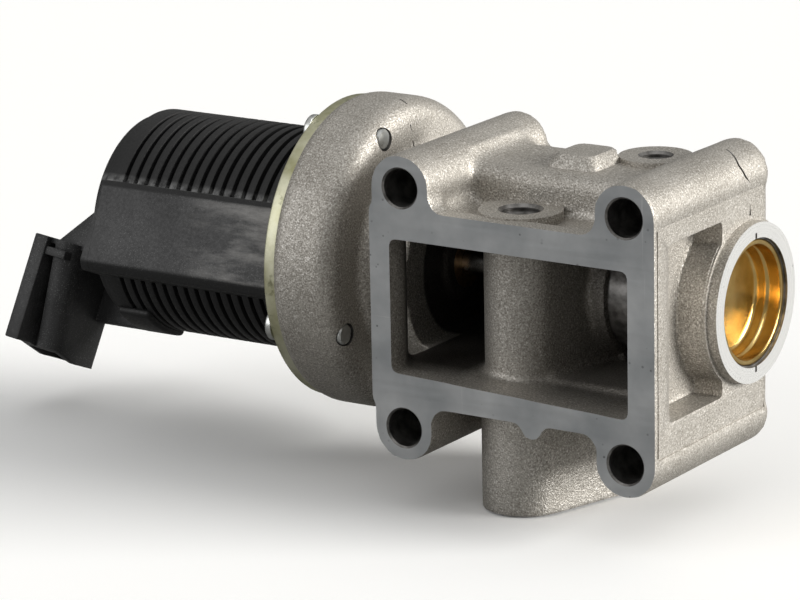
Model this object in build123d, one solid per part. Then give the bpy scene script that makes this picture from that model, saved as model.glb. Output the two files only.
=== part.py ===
from build123d import *
import os
from math import asin, cos, pi, radians, sin, sqrt

# Exhaust gas recirculation valve with a direct-current motor, in millimetres.
# X runs along the valve stem, away from the motor. The machined front flange is
# the plane Y = 0 and faces -Y. Z is up. The origin is the centre of the front
# flange's four bolt holes.

# Front flange and its four long bolt bosses
hole_pitch_x = 56.0
hole_pitch_z = 54.0
bolt_hole_d = 8.5
bolt_hole_chamfer = 0.35
boss_r = 7.35
boss_length = 50.5
boss_end_round = 1.4
saddle_round = 3.5

# Gas window in the front flange, and the walls of the neck behind it
window_left = -31.0
window_right = 28.7
window_top = 15.4
window_bottom = -14.6
window_bottom_drop = 2.4
window_round = 2.4
neck_top = 22.3
neck_floor = 21.0
neck_bottom = -21.7
neck_left_bulge = 0.85
neck_depth = 18.0
flange_plate = 1.5
flange_back = 5.5
side_step = 0.45

# Casing behind the neck
casing_top = 29.4
casing_bottom = -24.5
casing_round = 3.0
chamber_left = -38.0
chamber_right = 24.0
chamber_r = 15.3
chamber_taper_start = 6.0
barrel_wall = 4.2
barrel_end_wall = 4.0
left_barrel_r = 24.0

# Stem axis
stem_y = 40.85
stem_z = 0.3

# Exhaust column that stands in the casing and leaves it downwards
column_x = -7.7
column_front_y = 17.7
column_front_r = 8.7
column_rear_r = 15.7
column_wall = 4.0
stub_step = 1.0
stub_bottom = -46.0

# Valve seats in the two sides of the column
seat_boss_r = 15.5
seat_boss_half = 15.7
right_seat_r = 14.0
right_seat_bore = 11.5
right_seat_proud = 3.0
right_seat_length = 7.0
left_seat_r = 12.0
left_seat_bore = 9.6
left_seat_proud = 1.2
seat_gap = 0.15
left_seat_length = 5.2
seat_cone = 1.2

# Plug end: ring boss, plug bore and the cored pocket beside it
ring_r = 17.74
ring_proud = 1.85
ring_step_r = 19.6
pocket_front = 2.2
pocket_rear = 30.0
pocket_depth = 7.6
pocket_top = 20.6
pocket_bottom = -18.6
pocket_bulge_r = 14.0
pocket_cove_r = 9.0
plug_bore_chamfer = 0.6
plug_wall = 1.2
plug_depth = 7.4
plug_inset = 0.7
plug_step_in = 0.9
plug_step_at = 3.0

# Bosses on top of the body
front_port_x = -4.6
front_port_y = 11.9
front_port_boss_r = 9.3
front_port_r = 4.5
front_port_chamfer = 0.5
rear_port_x = 12.3
rear_port_boss_r = 8.2
rear_port_boss_rise = 1.1
rear_port_r = 3.4
rear_port_depth = 11.0
rear_port_chamfer = 0.4
pad_x = 0.4
pad_y = 31.0
pad_length = 11.5
pad_width = 13.0
pad_rise = 2.6
pad_slope = 2.0

# Round motor flange of the body
rim_x = -68.75
rim_margin = 3.34
clamp_ring = 3.0
rim_step = 1.0
shoulder_step = 0.96
shoulder_round = 5.0
flange_front_x = -50.4
spring_cavity_r = 19.0
spring_well_r = 14.6
spring_well_floor = -42.6
spring_cavity_floor = -56.0

# Screws that hold the motor, and the turn of the whole motor about the stem
motor_roll = 22.4
screw_clear_of_housing = 5.76
screw_r = 2.5
screw_head_r = 4.0
screw_head_h = 2.8
screw_end_inset = 0.6
screw_clearance = 0.05
screw_socket_af = 4.0
screw_socket_depth = 1.8

# Motor housing: ribbed plastic shell with a flat wiring block on its side
housing_r = 25.74
housing_length = 52.75
housing_wall = 4.14
housing_flange_inset = 3.2
housing_flange = 3.0
housing_flange_gap = 0.1
groove_pitch = 3.02
groove_width = 0.85
groove_depth = 1.5
groove_count = 15
first_groove = 5.2
wiring_proud = 0.86
wiring_top = 4.4
wiring_bottom = -17.0
wiring_bevel = 1.6
wiring_root = 2.4
lug_proud = 1.66
lug_length = 9.5
lug_from = 52.0
lug_to = 100.0

# End cap with its connector shroud
cap_thickness = 3.0
cap_round = 1.0
cap_spigot = 3.2
cap_spigot_clearance = 0.1
cap_spigot_wall = 2.2
cap_bush_wall = 1.5
shroud_x = -137.6
shroud_top = -10.3
shroud_tilt = 7.0
shroud_width = 24.6
shroud_height = 25.5
shroud_back = 9.0
shroud_face_top = 8.6
shroud_face_bottom = 4.6
shroud_wall = 1.8
shroud_floor = 6.0
guard_face = 10.2
guard_width = 3.8
key_r = 2.0
key_offset = -6.0
latch_width = 7.0
latch_height = 2.0
gusset_half = 5.5
gusset_rise = 21.0
gusset_start = 2.6
arm_drop = 14.0
pin_count = 5
pin_pitch = 3.8
pin_width = 1.5
pin_thickness = 0.8
pin_recess = 6.5

# Stem, discs and guide
stem_r = 3.0
running_gap = 0.04
press_gap = 0.02
stem_tail = 3.6
disc_travel = 6.0
disc_thickness = 3.0
disc_lip = 1.3
left_disc_r = 11.2
right_disc_r = 12.8
disc_hub_r = 5.0
disc_hub_length = 2.0
stem_shoulder_r = 3.9
disc_nut_af = 8.0
disc_nut_h = 4.0
stem_thread_r = 2.5
guide_r = 6.0
guide_rear = -54.0
guide_front = -36.6
guide_boss_r = 8.6
seal_thickness = 3.0
seal_lip_gap = 0.05
seal_heel = 1.4
seal_cup_wall = 0.6

# Return spring and its plate
spring_mean_r = 11.4
spring_wire_r = 1.0
spring_turns = 5.5
spring_seat_r = 13.4
spring_seat_thickness = 1.6
spring_seat_set = 2.35
spring_end_gap = 0.1
spring_seat_lip = 0.8

# Rotor and lead screw
screw_lead = 4.0
spindle_r = 3.0
spindle_flat = 2.4
sleeve_r = 5.0
sleeve_end_gap = 0.4
sleeve_bore_gap = 0.05
sleeve_tail = 3.0
core_r = 15.6
winding_gap = 1.1
core_poles = 10
slot_width = 2.0
slot_depth = 6.0
pole_neck_r = 14.2
winding_r = 13.6
winding_inner_r = 6.2
winding_length = 4.2
commutator_r = 7.4
commutator_set = 4.5
commutator_length = 4.8
commutator_bars = 10
commutator_cut = 0.6
commutator_depth = 1.0

# Bearings and bearing plate
bearing_r = 9.5
bearing_width = 5.0
bearing_race = 1.3
bearing_end_gap = 0.3
ball_count = 9
ball_gap = 0.02
plate_set = 7.85
plate_thickness = 2.4
plate_hub_wall = 2.2
plate_hub_depth = 5.6
rear_bush_r = 6.0
rear_bush_length = 3.4

# Motor can, magnets and brush gear
can_gap = 0.1
can_wall = 1.6
magnet_gap = 0.6
magnet_slot_half = 5.5
magnet_overhang = 1.0
brush_ring_inset = 1.0
brush_ring_bore = 9.6
brush_ring_thickness = 1.6
brush_ring_set = 7.1
brush_width = 4.0
brush_depth = 2.8
brush_gap = 0.3
brush_length = 6.5
brush_box_wall = 0.8
brush_spring_thickness = 0.6
brush_spring_width = 2.0
brush_spring_half = 6.4
brush_post_r = 1.2

# Position sensor and its wiring
sensor_magnet_size = 3.0
sensor_width = 7.0
sensor_height = 8.0
sensor_thickness = 2.6
sensor_face = 16.0
lead_count = 3
lead_width = 1.6
lead_thickness = 0.6
lead_pitch = 3.4
lead_depth = 2.4
seal_ring_r = 24.0
seal_ring_width = 1.2
seal_ring_height = 1.1

# Worked-out places
bolt_x = hole_pitch_x / 2
bolt_z = hole_pitch_z / 2
side_x = bolt_x + boss_r
panel_x = side_x - side_step
neck_left = -side_x - neck_left_bulge
ring_face = side_x + ring_proud
barrel_r = chamber_r + barrel_wall
left_seat_face = column_x - seat_boss_half
right_seat_face = column_x + seat_boss_half
cap_seam = rim_x - housing_length
clamp_front = rim_x + clamp_ring
housing_front = clamp_front + housing_flange
cap_rear = cap_seam - cap_thickness
screw_circle_r = housing_r + screw_clear_of_housing
rim_r = screw_circle_r + rim_margin
shoulder_r = rim_r + shoulder_step
housing_flange_r = screw_circle_r - housing_flange_inset
wiring_face = housing_r + wiring_proud
lug_r = housing_r + lug_proud
lead_face = wiring_face - lead_depth
housing_bore = housing_r - housing_wall
wiring_base = housing_bore - wiring_root
can_r = housing_bore - can_gap
brush_ring_r = can_r - brush_ring_inset
screw_angles = [motor_roll + quarter * 90 for quarter in range(4)]
stem_bore_r = stem_r + press_gap
left_seat_end = left_seat_face - left_seat_proud + left_seat_length
right_seat_end = right_seat_face + right_seat_proud
left_disc_rear = left_seat_end - seat_cone + left_disc_r - disc_lip - left_seat_bore + seat_gap
right_disc_rear = right_seat_end - seat_cone + right_disc_r - disc_lip - right_seat_bore + seat_gap
right_disc_front = right_disc_rear + disc_thickness
ball_circle_r = (sleeve_r + bearing_r) / 2
ball_r = (bearing_r - sleeve_r) / 2 - bearing_race + 0.45
spring_seat_front = rim_x + spring_seat_set
stem_rear = spring_seat_front - stem_tail
brush_ring_rear = cap_seam + brush_ring_set
brush_ring_front = brush_ring_rear + brush_ring_thickness
commutator_rear = cap_seam + commutator_set
core_rear = commutator_rear + commutator_length + winding_length
spindle_rear = core_rear
plate_rear = rim_x - plate_set
bearing_front = plate_rear - bearing_end_gap
sleeve_front = plate_rear - sleeve_end_gap
core_front = plate_rear - plate_hub_depth - winding_length - winding_gap
magnet_rear = core_rear - magnet_overhang
magnet_front = core_front + 2 * magnet_overhang
plate_front = plate_rear + plate_thickness
brush_spring_inner = commutator_r + brush_gap + brush_length
stem_place = Pos(0, stem_y, stem_z)
motor_place = stem_place * Rot(-motor_roll, 0, 0)


def block(x, y, z):
    """A box between (low, high) pairs."""
    centre = Pos(sum(x) / 2, sum(y) / 2, sum(z) / 2)
    return centre * Box(x[1] - x[0], y[1] - y[0], z[1] - z[0])


def rod_x(radius, start, end):
    """A cylinder along X, centred on the X axis."""
    return Pos((start + end) / 2, 0, 0) * Rot(0, 90, 0) * Cylinder(radius, end - start)


def tube_x(outer, inner, start, end):
    return rod_x(outer, start, end) - rod_x(inner, start - 1, end + 1)


def rod_y(radius, x, z, start, end):
    return Pos(x, (start + end) / 2, z) * Rot(90, 0, 0) * Cylinder(radius, end - start)


def rod_z(radius, x, y, start, end):
    return Pos(x, y, (start + end) / 2) * Cylinder(radius, end - start)


def turned(*outline):
    """Revolve a closed outline of (along, radius) points about the X axis."""
    return revolve(make_face(Polyline(*outline, close=True)), Axis.X)


def around_x(shape, angle):
    return Rot(angle, 0, 0) * shape


# ---- Valve body -------------------------------------------------------------


def rectangle(x, z):
    """A rectangle between (low, high) pairs."""
    return Pos(sum(x) / 2, sum(z) / 2) * Rectangle(x[1] - x[0], z[1] - z[0])


def frame_section(low, high, right, top_round):
    """Section of the neck across Y: a rectangle with the four bolt bosses in its corners."""
    section = rectangle((neck_left, right), (low, high))
    section += rectangle((bolt_x, right), (-bolt_z, bolt_z))
    section += rectangle((-side_x, -bolt_x), (-bolt_z, bolt_z))
    for x in (-bolt_x, bolt_x):
        for z in (-bolt_z, bolt_z):
            section += Pos(x, z) * Circle(boss_r)
    inner_x = bolt_x - boss_r / 2
    saddles = [
        corner
        for corner in section.vertices()
        if abs(corner.X) < inner_x and (abs(corner.Y - high) < 0.01 or abs(corner.Y - low) < 0.01)
    ]
    return fillet(saddles, top_round)


def along_y(section, start, end):
    """Extrude an XZ section from start to end along Y."""
    return Pos(0, end, 0) * Rot(90, 0, 0) * extrude(section, end - start)


def egg(front_r, rear_r):
    """Column section: a small front arc and a large rear arc joined by straight flanks."""
    lean = asin((rear_r - front_r) / (stem_y - column_front_y))
    front = [(side * front_r * cos(lean), column_front_y - front_r * sin(lean)) for side in (1, -1)]
    rear = [(side * rear_r * cos(lean), stem_y - rear_r * sin(lean)) for side in (1, -1)]
    outline = [
        Line(front[0], rear[0]),
        ThreePointArc(rear[0], (0, stem_y + rear_r), rear[1]),
        Line(rear[1], front[1]),
        ThreePointArc(front[1], (0, column_front_y - front_r), front[0]),
    ]
    return Pos(column_x, 0) * make_face(outline)


def column(front_r, rear_r, bottom, top):
    return Pos(0, 0, bottom) * extrude(egg(front_r, rear_r), top - bottom)


def motor_flange():
    """Round flange whose rear face takes the clamp ring."""
    round_start = flange_front_x - shoulder_round
    mid = shoulder_round * (1 - sqrt(0.5))
    step = clamp_front + rim_step
    face_r = shoulder_r - shoulder_round
    outline = [
        Line((clamp_front, 0), (clamp_front, rim_r)),
        Line((clamp_front, rim_r), (step, shoulder_r)),
        Line((step, shoulder_r), (round_start, shoulder_r)),
        ThreePointArc(
            (round_start, shoulder_r),
            (flange_front_x - mid, shoulder_r - mid),
            (flange_front_x, face_r),
        ),
        Line((flange_front_x, face_r), (flange_front_x, 0)),
        Line((flange_front_x, 0), (clamp_front, 0)),
    ]
    return revolve(make_face(outline), Axis.X)


def casing():
    """Square block behind the neck, with the rear part of the four bolt bosses."""
    deep = (neck_depth, boss_length)
    crown_half = bolt_x - boss_r / 2
    crown = block((-crown_half, crown_half), deep, (0, casing_top))
    crown = fillet(crown.edges().filter_by(Axis.X).group_by(Axis.Z)[-1], casing_round)
    body = block((neck_left, panel_x), deep, (casing_bottom, bolt_z)) + crown
    body += block((neck_left, -bolt_x), deep, (-bolt_z, bolt_z))
    body += block((bolt_x, panel_x), deep, (-bolt_z, bolt_z))
    for x in (-bolt_x, bolt_x):
        for z in (-bolt_z, bolt_z):
            boss = rod_y(boss_r, x, z, neck_depth, boss_length)
            body += fillet(boss.edges().group_by(Axis.Y)[-1], boss_end_round)
    return body


def casting_outside():
    body = along_y(frame_section(neck_bottom, neck_top, side_x, saddle_round), 0, flange_plate)
    body += along_y(frame_section(neck_bottom, neck_top, panel_x, saddle_round), 0, flange_back)
    body += along_y(frame_section(neck_bottom, neck_floor, panel_x, saddle_round), 0, neck_depth)
    body += casing()
    barrel = rod_x(barrel_r, chamber_left - barrel_end_wall, chamber_right + barrel_end_wall)
    left_barrel = rod_x(left_barrel_r, flange_front_x - 1, neck_left + 4)
    ring = rod_x(ring_r, 0, ring_face) + rod_x(ring_step_r, 0, side_x - 0.4)
    body += stem_place * (barrel + left_barrel + motor_flange())
    stub = column(column_front_r + stub_step, column_rear_r + stub_step, stub_bottom, casing_bottom + 1)
    return body + stub, stem_place * ring


def side_pocket():
    """Cored pocket in the plug side: its floor falls away from the flange in an S and runs to the ring."""
    floor_x = side_x - pocket_depth
    fall = pocket_depth * pocket_bulge_r / (pocket_bulge_r + pocket_cove_r)
    lean_y = sqrt(pocket_bulge_r**2 - (pocket_bulge_r - fall) ** 2)
    cove_y = lean_y * pocket_cove_r / pocket_bulge_r
    half = asin(lean_y / pocket_bulge_r) / 2
    bulge_mid = (side_x - pocket_bulge_r * (1 - cos(half)), pocket_front + pocket_bulge_r * sin(half))
    knee = (side_x - fall, pocket_front + lean_y)
    cove_end = (floor_x, pocket_front + lean_y + cove_y)
    cove_mid = (floor_x + pocket_cove_r * (1 - cos(half)), cove_end[1] - pocket_cove_r * sin(half))
    outside = side_x + 2
    outline = [
        ThreePointArc((side_x, pocket_front), bulge_mid, knee),
        ThreePointArc(knee, cove_mid, cove_end),
        Line(cove_end, (floor_x, pocket_rear)),
        Line((floor_x, pocket_rear), (outside, pocket_rear)),
        Line((outside, pocket_rear), (outside, pocket_front)),
        Line((outside, pocket_front), (side_x, pocket_front)),
    ]
    return Pos(0, 0, pocket_bottom) * extrude(make_face(outline), pocket_top - pocket_bottom)


def top_bosses():
    front = rod_z(front_port_boss_r, front_port_x, front_port_y, window_top + 1, neck_top)
    rear = rod_z(rear_port_boss_r, rear_port_x, stem_y, casing_top - 3, casing_top + rear_port_boss_rise)
    rear_face = block((-side_x, side_x), (neck_depth, boss_length), (neck_bottom, casing_top + pad_rise))
    base = Rectangle(pad_length, pad_width)
    crown = Rectangle(pad_length - 2 * pad_slope, pad_width - 2 * pad_slope)
    pad = loft([Pos(0, 0, -0.5) * base, Pos(0, 0, pad_rise) * crown])
    return front + (rear & rear_face) + Pos(pad_x, pad_y, casing_top) * pad


def chamber():
    """Gas space: window neck, tapered side walls and the round rear wall about the stem."""
    low = stem_z - chamber_r
    high = stem_z + chamber_r
    window_side = window_bottom - window_bottom_drop
    window = Polyline(
        (window_left, window_top),
        (window_right, window_top),
        (window_right, window_side),
        (window_left, window_bottom),
        close=True,
    )
    window = make_face(window)
    window = fillet(window.vertices(), window_round)
    plan = Polyline(
        (window_right, chamber_taper_start),
        (chamber_right, neck_depth),
        (chamber_right, stem_y),
        (chamber_left, stem_y),
        (chamber_left, neck_depth),
        (window_left, chamber_taper_start),
        close=True,
    )
    space = Pos(0, 0, low) * extrude(make_face(plan), high - low)
    space += along_y(window, -1, neck_depth - 4)
    return space + stem_place * rod_x(chamber_r, chamber_left, chamber_right)


def top_holes():
    front = rod_z(front_port_r, front_port_x, front_port_y, window_top - 2, neck_top + 1)
    front += Pos(front_port_x, front_port_y, neck_top) * Cone(
        front_port_r, front_port_r + 2 * front_port_chamfer, 2 * front_port_chamfer
    )
    rear_top = casing_top + rear_port_boss_rise
    rear = rod_z(rear_port_r, rear_port_x, stem_y, rear_top - rear_port_depth, rear_top + 1)
    rear += Pos(rear_port_x, stem_y, rear_top) * Cone(
        rear_port_r, rear_port_r + 2 * rear_port_chamfer, 2 * rear_port_chamfer
    )
    return front + rear


def bolt_holes():
    holes = None
    for x in (-bolt_x, bolt_x):
        for z in (-bolt_z, bolt_z):
            hole = rod_y(bolt_hole_d / 2, x, z, -1, boss_length + 1)
            mouth = Cone(bolt_hole_d / 2, bolt_hole_d / 2 + 2 * bolt_hole_chamfer, 2 * bolt_hole_chamfer)
            hole += Pos(x, 0, z) * Rot(90, 0, 0) * mouth
            holes = hole if holes is None else holes + hole
    return holes


def stem_bores():
    """Turned spaces about the stem: plug bore, seat bores, guide bore and spring well."""
    plug_bore = rod_x(right_seat_r, chamber_right - 1, ring_face + 1)
    mouth = turned(
        (ring_face - plug_bore_chamfer, 0),
        (ring_face - plug_bore_chamfer, right_seat_r),
        (ring_face + 1, right_seat_r + plug_bore_chamfer + 1),
        (ring_face + 1, 0),
    )
    seats = rod_x(right_seat_r, right_seat_end - right_seat_length, right_seat_face + 1)
    seats += rod_x(left_seat_r, left_seat_face - 1, right_seat_face)
    guide = rod_x(guide_r, guide_rear - 1, guide_front + 1)
    cavity = rod_x(spring_cavity_r, clamp_front - 1, spring_cavity_floor)
    well = tube_x(spring_well_r, guide_boss_r, clamp_front - 1, spring_well_floor)
    well += rod_x(spring_well_r, clamp_front - 1, guide_rear)
    recess = rod_x(housing_flange_r + housing_flange_gap, clamp_front - 1, housing_front)
    return plug_bore + mouth + seats + guide + cavity + well + recess


def flange_screw_holes():
    bore = rod_x(screw_r + screw_clearance, rim_x - 1, flange_front_x + 1)
    holes = None
    for angle in screw_angles:
        hole = around_x(Pos(0, screw_circle_r, 0) * bore, angle)
        holes = hole if holes is None else holes + hole
    return holes


def valve_body():
    outside, ring = casting_outside()
    body = outside - side_pocket() + top_bosses() + ring
    body -= chamber()
    duct_top = stem_z + chamber_r - 1
    in_chamber = column(column_front_r, column_rear_r, stem_z - chamber_r - 1, stem_z + chamber_r + 1)
    seat_boss = stem_place * rod_x(seat_boss_r, left_seat_face, right_seat_face)
    body += in_chamber + seat_boss
    body += stem_place * rod_x(guide_boss_r, guide_rear, guide_front)
    body -= column(column_front_r - column_wall, column_rear_r - column_wall, stub_bottom - 1, duct_top)
    body -= stem_place * (stem_bores() + flange_screw_holes())
    return body - bolt_holes() - top_holes()


# ---- Pieces set in the body -------------------------------------------------


def end_plug():
    """Drawn cup with a stepped wall that closes the bore through which the seats are machined."""
    rim = ring_face - plug_inset
    floor = rim - plug_depth
    step = rim - plug_step_at
    outer = right_seat_r - press_gap
    inner = outer - plug_wall
    return stem_place * turned(
        (floor, 0),
        (floor, outer - plug_wall),
        (floor + plug_wall, outer),
        (rim, outer),
        (rim, inner),
        (step, inner),
        (step - plug_step_in / 2, inner - plug_step_in),
        (floor + plug_wall, inner - plug_step_in),
        (floor + plug_wall, 0),
    )


def seat_ring(outer, bore, start, end):
    """Pressed-in steel ring with the seat cone at its +X end."""
    return stem_place * turned(
        (start, bore),
        (start, outer - press_gap),
        (end, outer - press_gap),
        (end, bore + seat_cone),
        (end - seat_cone, bore),
    )


def stem_guide_bush():
    bore = stem_r + running_gap
    return stem_place * tube_x(guide_r - press_gap, bore, guide_rear, guide_front)


def stem_seal():
    """Lip seal behind the guide: a square ring with a thin lip turned towards the stem."""
    rear = guide_rear - seal_thickness
    lip = stem_r + seal_lip_gap
    heel = stem_r + seal_heel
    return stem_place * turned(
        (rear, lip),
        (rear, guide_boss_r),
        (guide_rear, guide_boss_r),
        (guide_rear, heel),
        (rear + seal_heel, heel),
        (rear + seal_heel / 2, lip),
    )


def seal_cup():
    """Pressed steel cup that keeps the lip seal on the end of the guide boss."""
    rear = guide_rear - seal_thickness - seal_cup_wall
    inner = guide_boss_r + press_gap
    outer = inner + seal_cup_wall
    skirt = guide_rear + seal_thickness
    return stem_place * turned(
        (rear, stem_r + 1.5),
        (rear, outer),
        (skirt, outer),
        (skirt, inner),
        (rear + seal_cup_wall, inner),
        (rear + seal_cup_wall, stem_r + 1.5),
    )


# ---- Stem assembly ----------------------------------------------------------


def valve_disc(disc_r, rear):
    """Poppet disc: a cone that meets the seat, a plain lip and a hub on the stem."""
    cone_start = disc_r - disc_lip
    front = rear + disc_thickness
    return stem_place * turned(
        (rear, stem_bore_r),
        (rear, cone_start),
        (rear + disc_lip, disc_r),
        (front, disc_r),
        (front + 0.6, disc_hub_r + 1),
        (front + disc_hub_length, disc_hub_r),
        (front + disc_hub_length, stem_bore_r),
    )


def valve_stem():
    """Ground stem with a shoulder for the left disc and a thinner threaded end."""
    thread_start = right_disc_front + disc_hub_length
    return stem_place * turned(
        (stem_rear, 0),
        (stem_rear, stem_r),
        (left_disc_rear - 1.2, stem_r),
        (left_disc_rear - 1.2, stem_shoulder_r),
        (left_disc_rear, stem_shoulder_r),
        (left_disc_rear, stem_r),
        (thread_start, stem_r),
        (thread_start, stem_thread_r),
        (thread_start + disc_nut_h + 0.8, stem_thread_r),
        (thread_start + disc_nut_h + 1.3, stem_thread_r - 0.5),
        (thread_start + disc_nut_h + 1.3, 0),
    )


def disc_nut():
    start = right_disc_front + disc_hub_length
    nut = extrude(RegularPolygon(disc_nut_af / 2, 6, major_radius=False), disc_nut_h)
    nut = Pos(start, 0, 0) * Rot(0, 90, 0) * nut
    return stem_place * (nut - rod_x(stem_thread_r + press_gap, start - 1, start + disc_nut_h + 1))


def disc_spacer():
    """Tube on the stem that sets the distance between the two discs."""
    start = left_disc_rear + disc_thickness + disc_hub_length
    return stem_place * tube_x(disc_hub_r, stem_bore_r, start, right_disc_rear)


def spring_seat():
    """Dished plate on the stem that the return spring pushes on."""
    rear = spring_seat_front - spring_seat_thickness
    lip = spring_seat_front + spring_wire_r
    hub = stem_r + 2
    return stem_place * turned(
        (rear, stem_bore_r),
        (rear, spring_seat_r),
        (lip, spring_seat_r),
        (lip, spring_seat_r - spring_seat_lip),
        (spring_seat_front, spring_seat_r - spring_seat_lip),
        (spring_seat_front, hub),
        (lip + 1, hub),
        (lip + 1, stem_bore_r),
    )


def return_spring():
    """Coil between the well's floor and the plate on the stem."""
    length = spring_well_floor - spring_seat_front - 2 * (spring_wire_r + spring_end_gap)
    path = Helix(length / spring_turns, length, spring_mean_r)
    profile = Plane(origin=path @ 0, z_dir=path % 0) * Circle(spring_wire_r)
    coil = sweep(profile, path=path)
    start = spring_seat_front + spring_wire_r + spring_end_gap
    return stem_place * Pos(start, 0, 0) * Rot(0, 90, 0) * coil


def spindle():
    """Lead screw: a round thread length and a two-flat length that the bearing plate keeps from turning."""
    body = rod_x(spindle_r, spindle_rear, stem_rear)
    flats_start = plate_rear - disc_travel - 1
    for side in (1, -1):
        low, high = sorted((side * spindle_flat, side * (spindle_r + 1)))
        body -= block((flats_start, stem_rear + 1), (low, high), (-spindle_r, spindle_r))
    return stem_place * body


def sensor_magnet():
    """Small magnet on the spring plate's rim, which the position sensor reads."""
    rear = spring_seat_front - spring_seat_thickness
    inner = spring_seat_r - sensor_magnet_size
    half = sensor_magnet_size / 2
    magnet = block((rear - sensor_magnet_size / 2, rear), (-spring_seat_r, -inner), (-half, half))
    return motor_place * magnet


# ---- Rotor ------------------------------------------------------------------


def rotor_sleeve():
    """Hollow shaft with the nut thread for the spindle, and a solid tail in the rear bush."""
    tail_start = commutator_rear - 0.6
    tail_end = cap_seam + 0.8
    bore_end = spindle_rear - 1.5
    bore = spindle_r + sleeve_bore_gap
    return stem_place * turned(
        (tail_end, 0),
        (tail_end, sleeve_tail),
        (tail_start, sleeve_tail),
        (tail_start, sleeve_r),
        (sleeve_front, sleeve_r),
        (sleeve_front, bore),
        (bore_end, bore),
        (bore_end - 1, 0),
    )


def rotor_core():
    """Stack of slotted sheets: ten poles with slots open to the magnets."""
    core = tube_x(core_r, sleeve_r + press_gap, core_rear, core_front)
    half = slot_width / 2
    for pole in range(core_poles):
        slot = block((core_rear - 1, core_front + 1), (core_r - slot_depth, core_r + 1), (-half, half))
        core -= around_x(slot, pole * 360 / core_poles)
    return stem_place * core


def winding_ends():
    """Wound wire that stands out of both ends of the rotor core."""
    ends = []
    for rear in (core_rear - winding_length, core_front):
        front = rear + winding_length
        ends.append(
            turned(
                (rear, winding_inner_r),
                (rear, winding_r - 1.5),
                (rear + 1.2, winding_r),
                (front - 1.2, winding_r),
                (front, winding_r - 1.5),
                (front, winding_inner_r),
            )
        )
    return Compound(children=[stem_place * end for end in ends])


def commutator():
    body = tube_x(commutator_r, sleeve_r + press_gap, commutator_rear, core_rear - winding_length)
    cut_from = commutator_r - commutator_depth
    for bar in range(commutator_bars):
        cut = block(
            (commutator_rear - 1, core_rear - winding_length + 1),
            (cut_from, commutator_r + 1),
            (-commutator_cut / 2, commutator_cut / 2),
        )
        body -= around_x(cut, bar * 360 / commutator_bars)
    return stem_place * body


# ---- Bearings and bearing plate ---------------------------------------------


def bearing_ring(inner, outer):
    """One race of the front ball bearing, with the ball track turned into it."""
    rear = bearing_front - bearing_width
    ring = tube_x(outer, inner, rear, bearing_front)
    track = Pos((rear + bearing_front) / 2, ball_circle_r, 0) * Circle(ball_r + ball_gap)
    return stem_place * (ring - revolve(track, Axis.X))


def bearing_inner_race():
    return bearing_ring(sleeve_r + press_gap, sleeve_r + bearing_race)


def bearing_outer_race():
    return bearing_ring(bearing_r - bearing_race, bearing_r)


def bearing_balls():
    middle = bearing_front - bearing_width / 2
    ball = Pos(middle, ball_circle_r, 0) * Sphere(ball_r)
    turn = 360 / ball_count
    return Compound(children=[stem_place * around_x(ball, turn * i) for i in range(ball_count)])


def bearing_plate():
    """Steel plate across the motor's front: bearing cup behind it, two-flat guide hole in its middle."""
    plate = rod_x(can_r, plate_rear, plate_front)
    hub = tube_x(
        bearing_r + plate_hub_wall, bearing_r + press_gap, plate_rear - plate_hub_depth, plate_rear
    )
    hole = rod_x(spindle_r + sleeve_bore_gap, plate_rear - 1, plate_front + 1)
    flat = spindle_flat + sleeve_bore_gap
    hole &= block((plate_rear - 1, plate_front + 1), (-flat, flat), (-can_r, can_r))
    return stem_place * (plate + hub - hole)


def rear_bush():
    bore = sleeve_tail + running_gap
    return stem_place * tube_x(rear_bush_r, bore, cap_seam, cap_seam + rear_bush_length)


# ---- Motor housing and end cap ----------------------------------------------


def sector(inner, outer, start, end, angle_from, angle_to):
    """Part of a tube about the X axis between two angles, counted from -Y towards -Z."""
    outline = [(inner * cos(radians(angle_from)), inner * sin(radians(angle_from)))]
    middle = radians((angle_from + angle_to) / 2)
    corners = [
        (radius * cos(radians(angle)), radius * sin(radians(angle)))
        for radius, angle in ((outer, angle_from), (outer, angle_to), (inner, angle_to))
    ]
    edges = [
        Line(outline[0], corners[0]),
        ThreePointArc(corners[0], (outer * cos(middle), outer * sin(middle)), corners[1]),
        Line(corners[1], corners[2]),
        ThreePointArc(corners[2], (inner * cos(middle), inner * sin(middle)), outline[0]),
    ]
    face = make_face(edges)
    plane = Plane(origin=(start, 0, 0), x_dir=(0, -1, 0), z_dir=(1, 0, 0))
    return extrude(plane * face, end - start)


def wiring_prism(start, end, base):
    """Flat-faced wiring block on the housing's -Y side, bevelled along its lower edge."""
    outline = Polyline(
        (-wiring_face, wiring_top),
        (-base, wiring_top),
        (-base, wiring_bottom),
        (-wiring_face + wiring_bevel, wiring_bottom),
        (-wiring_face, wiring_bottom + wiring_bevel),
        close=True,
    )
    plane = Plane(origin=(start, 0, 0), x_dir=(0, 1, 0), z_dir=(1, 0, 0))
    return extrude(plane * make_face(outline), end - start)


def lead_strips():
    """Three strips moulded into the wiring block, each bent inwards to the position sensor."""
    strips = []
    bend = plate_front + sensor_height / 4
    middle = (wiring_top + wiring_bottom) / 2
    for lead in range(lead_count):
        z = middle + (lead - (lead_count - 1) / 2) * lead_pitch
        wide = (z - lead_width / 2, z + lead_width / 2)
        strip = block((cap_seam, bend), (-lead_face, -lead_face + lead_thickness), wide)
        leg_end = -sensor_face - sensor_thickness
        strip += block((bend, bend + lead_thickness), (-lead_face, leg_end), wide)
        strips.append(strip)
    return strips


def clamp_ring_plate():
    """Steel ring moulded into the housing: the four screws clamp the housing's flange through it."""
    return stem_place * (tube_x(rim_r, housing_r, rim_x, clamp_front) - flange_screw_holes())


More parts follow.
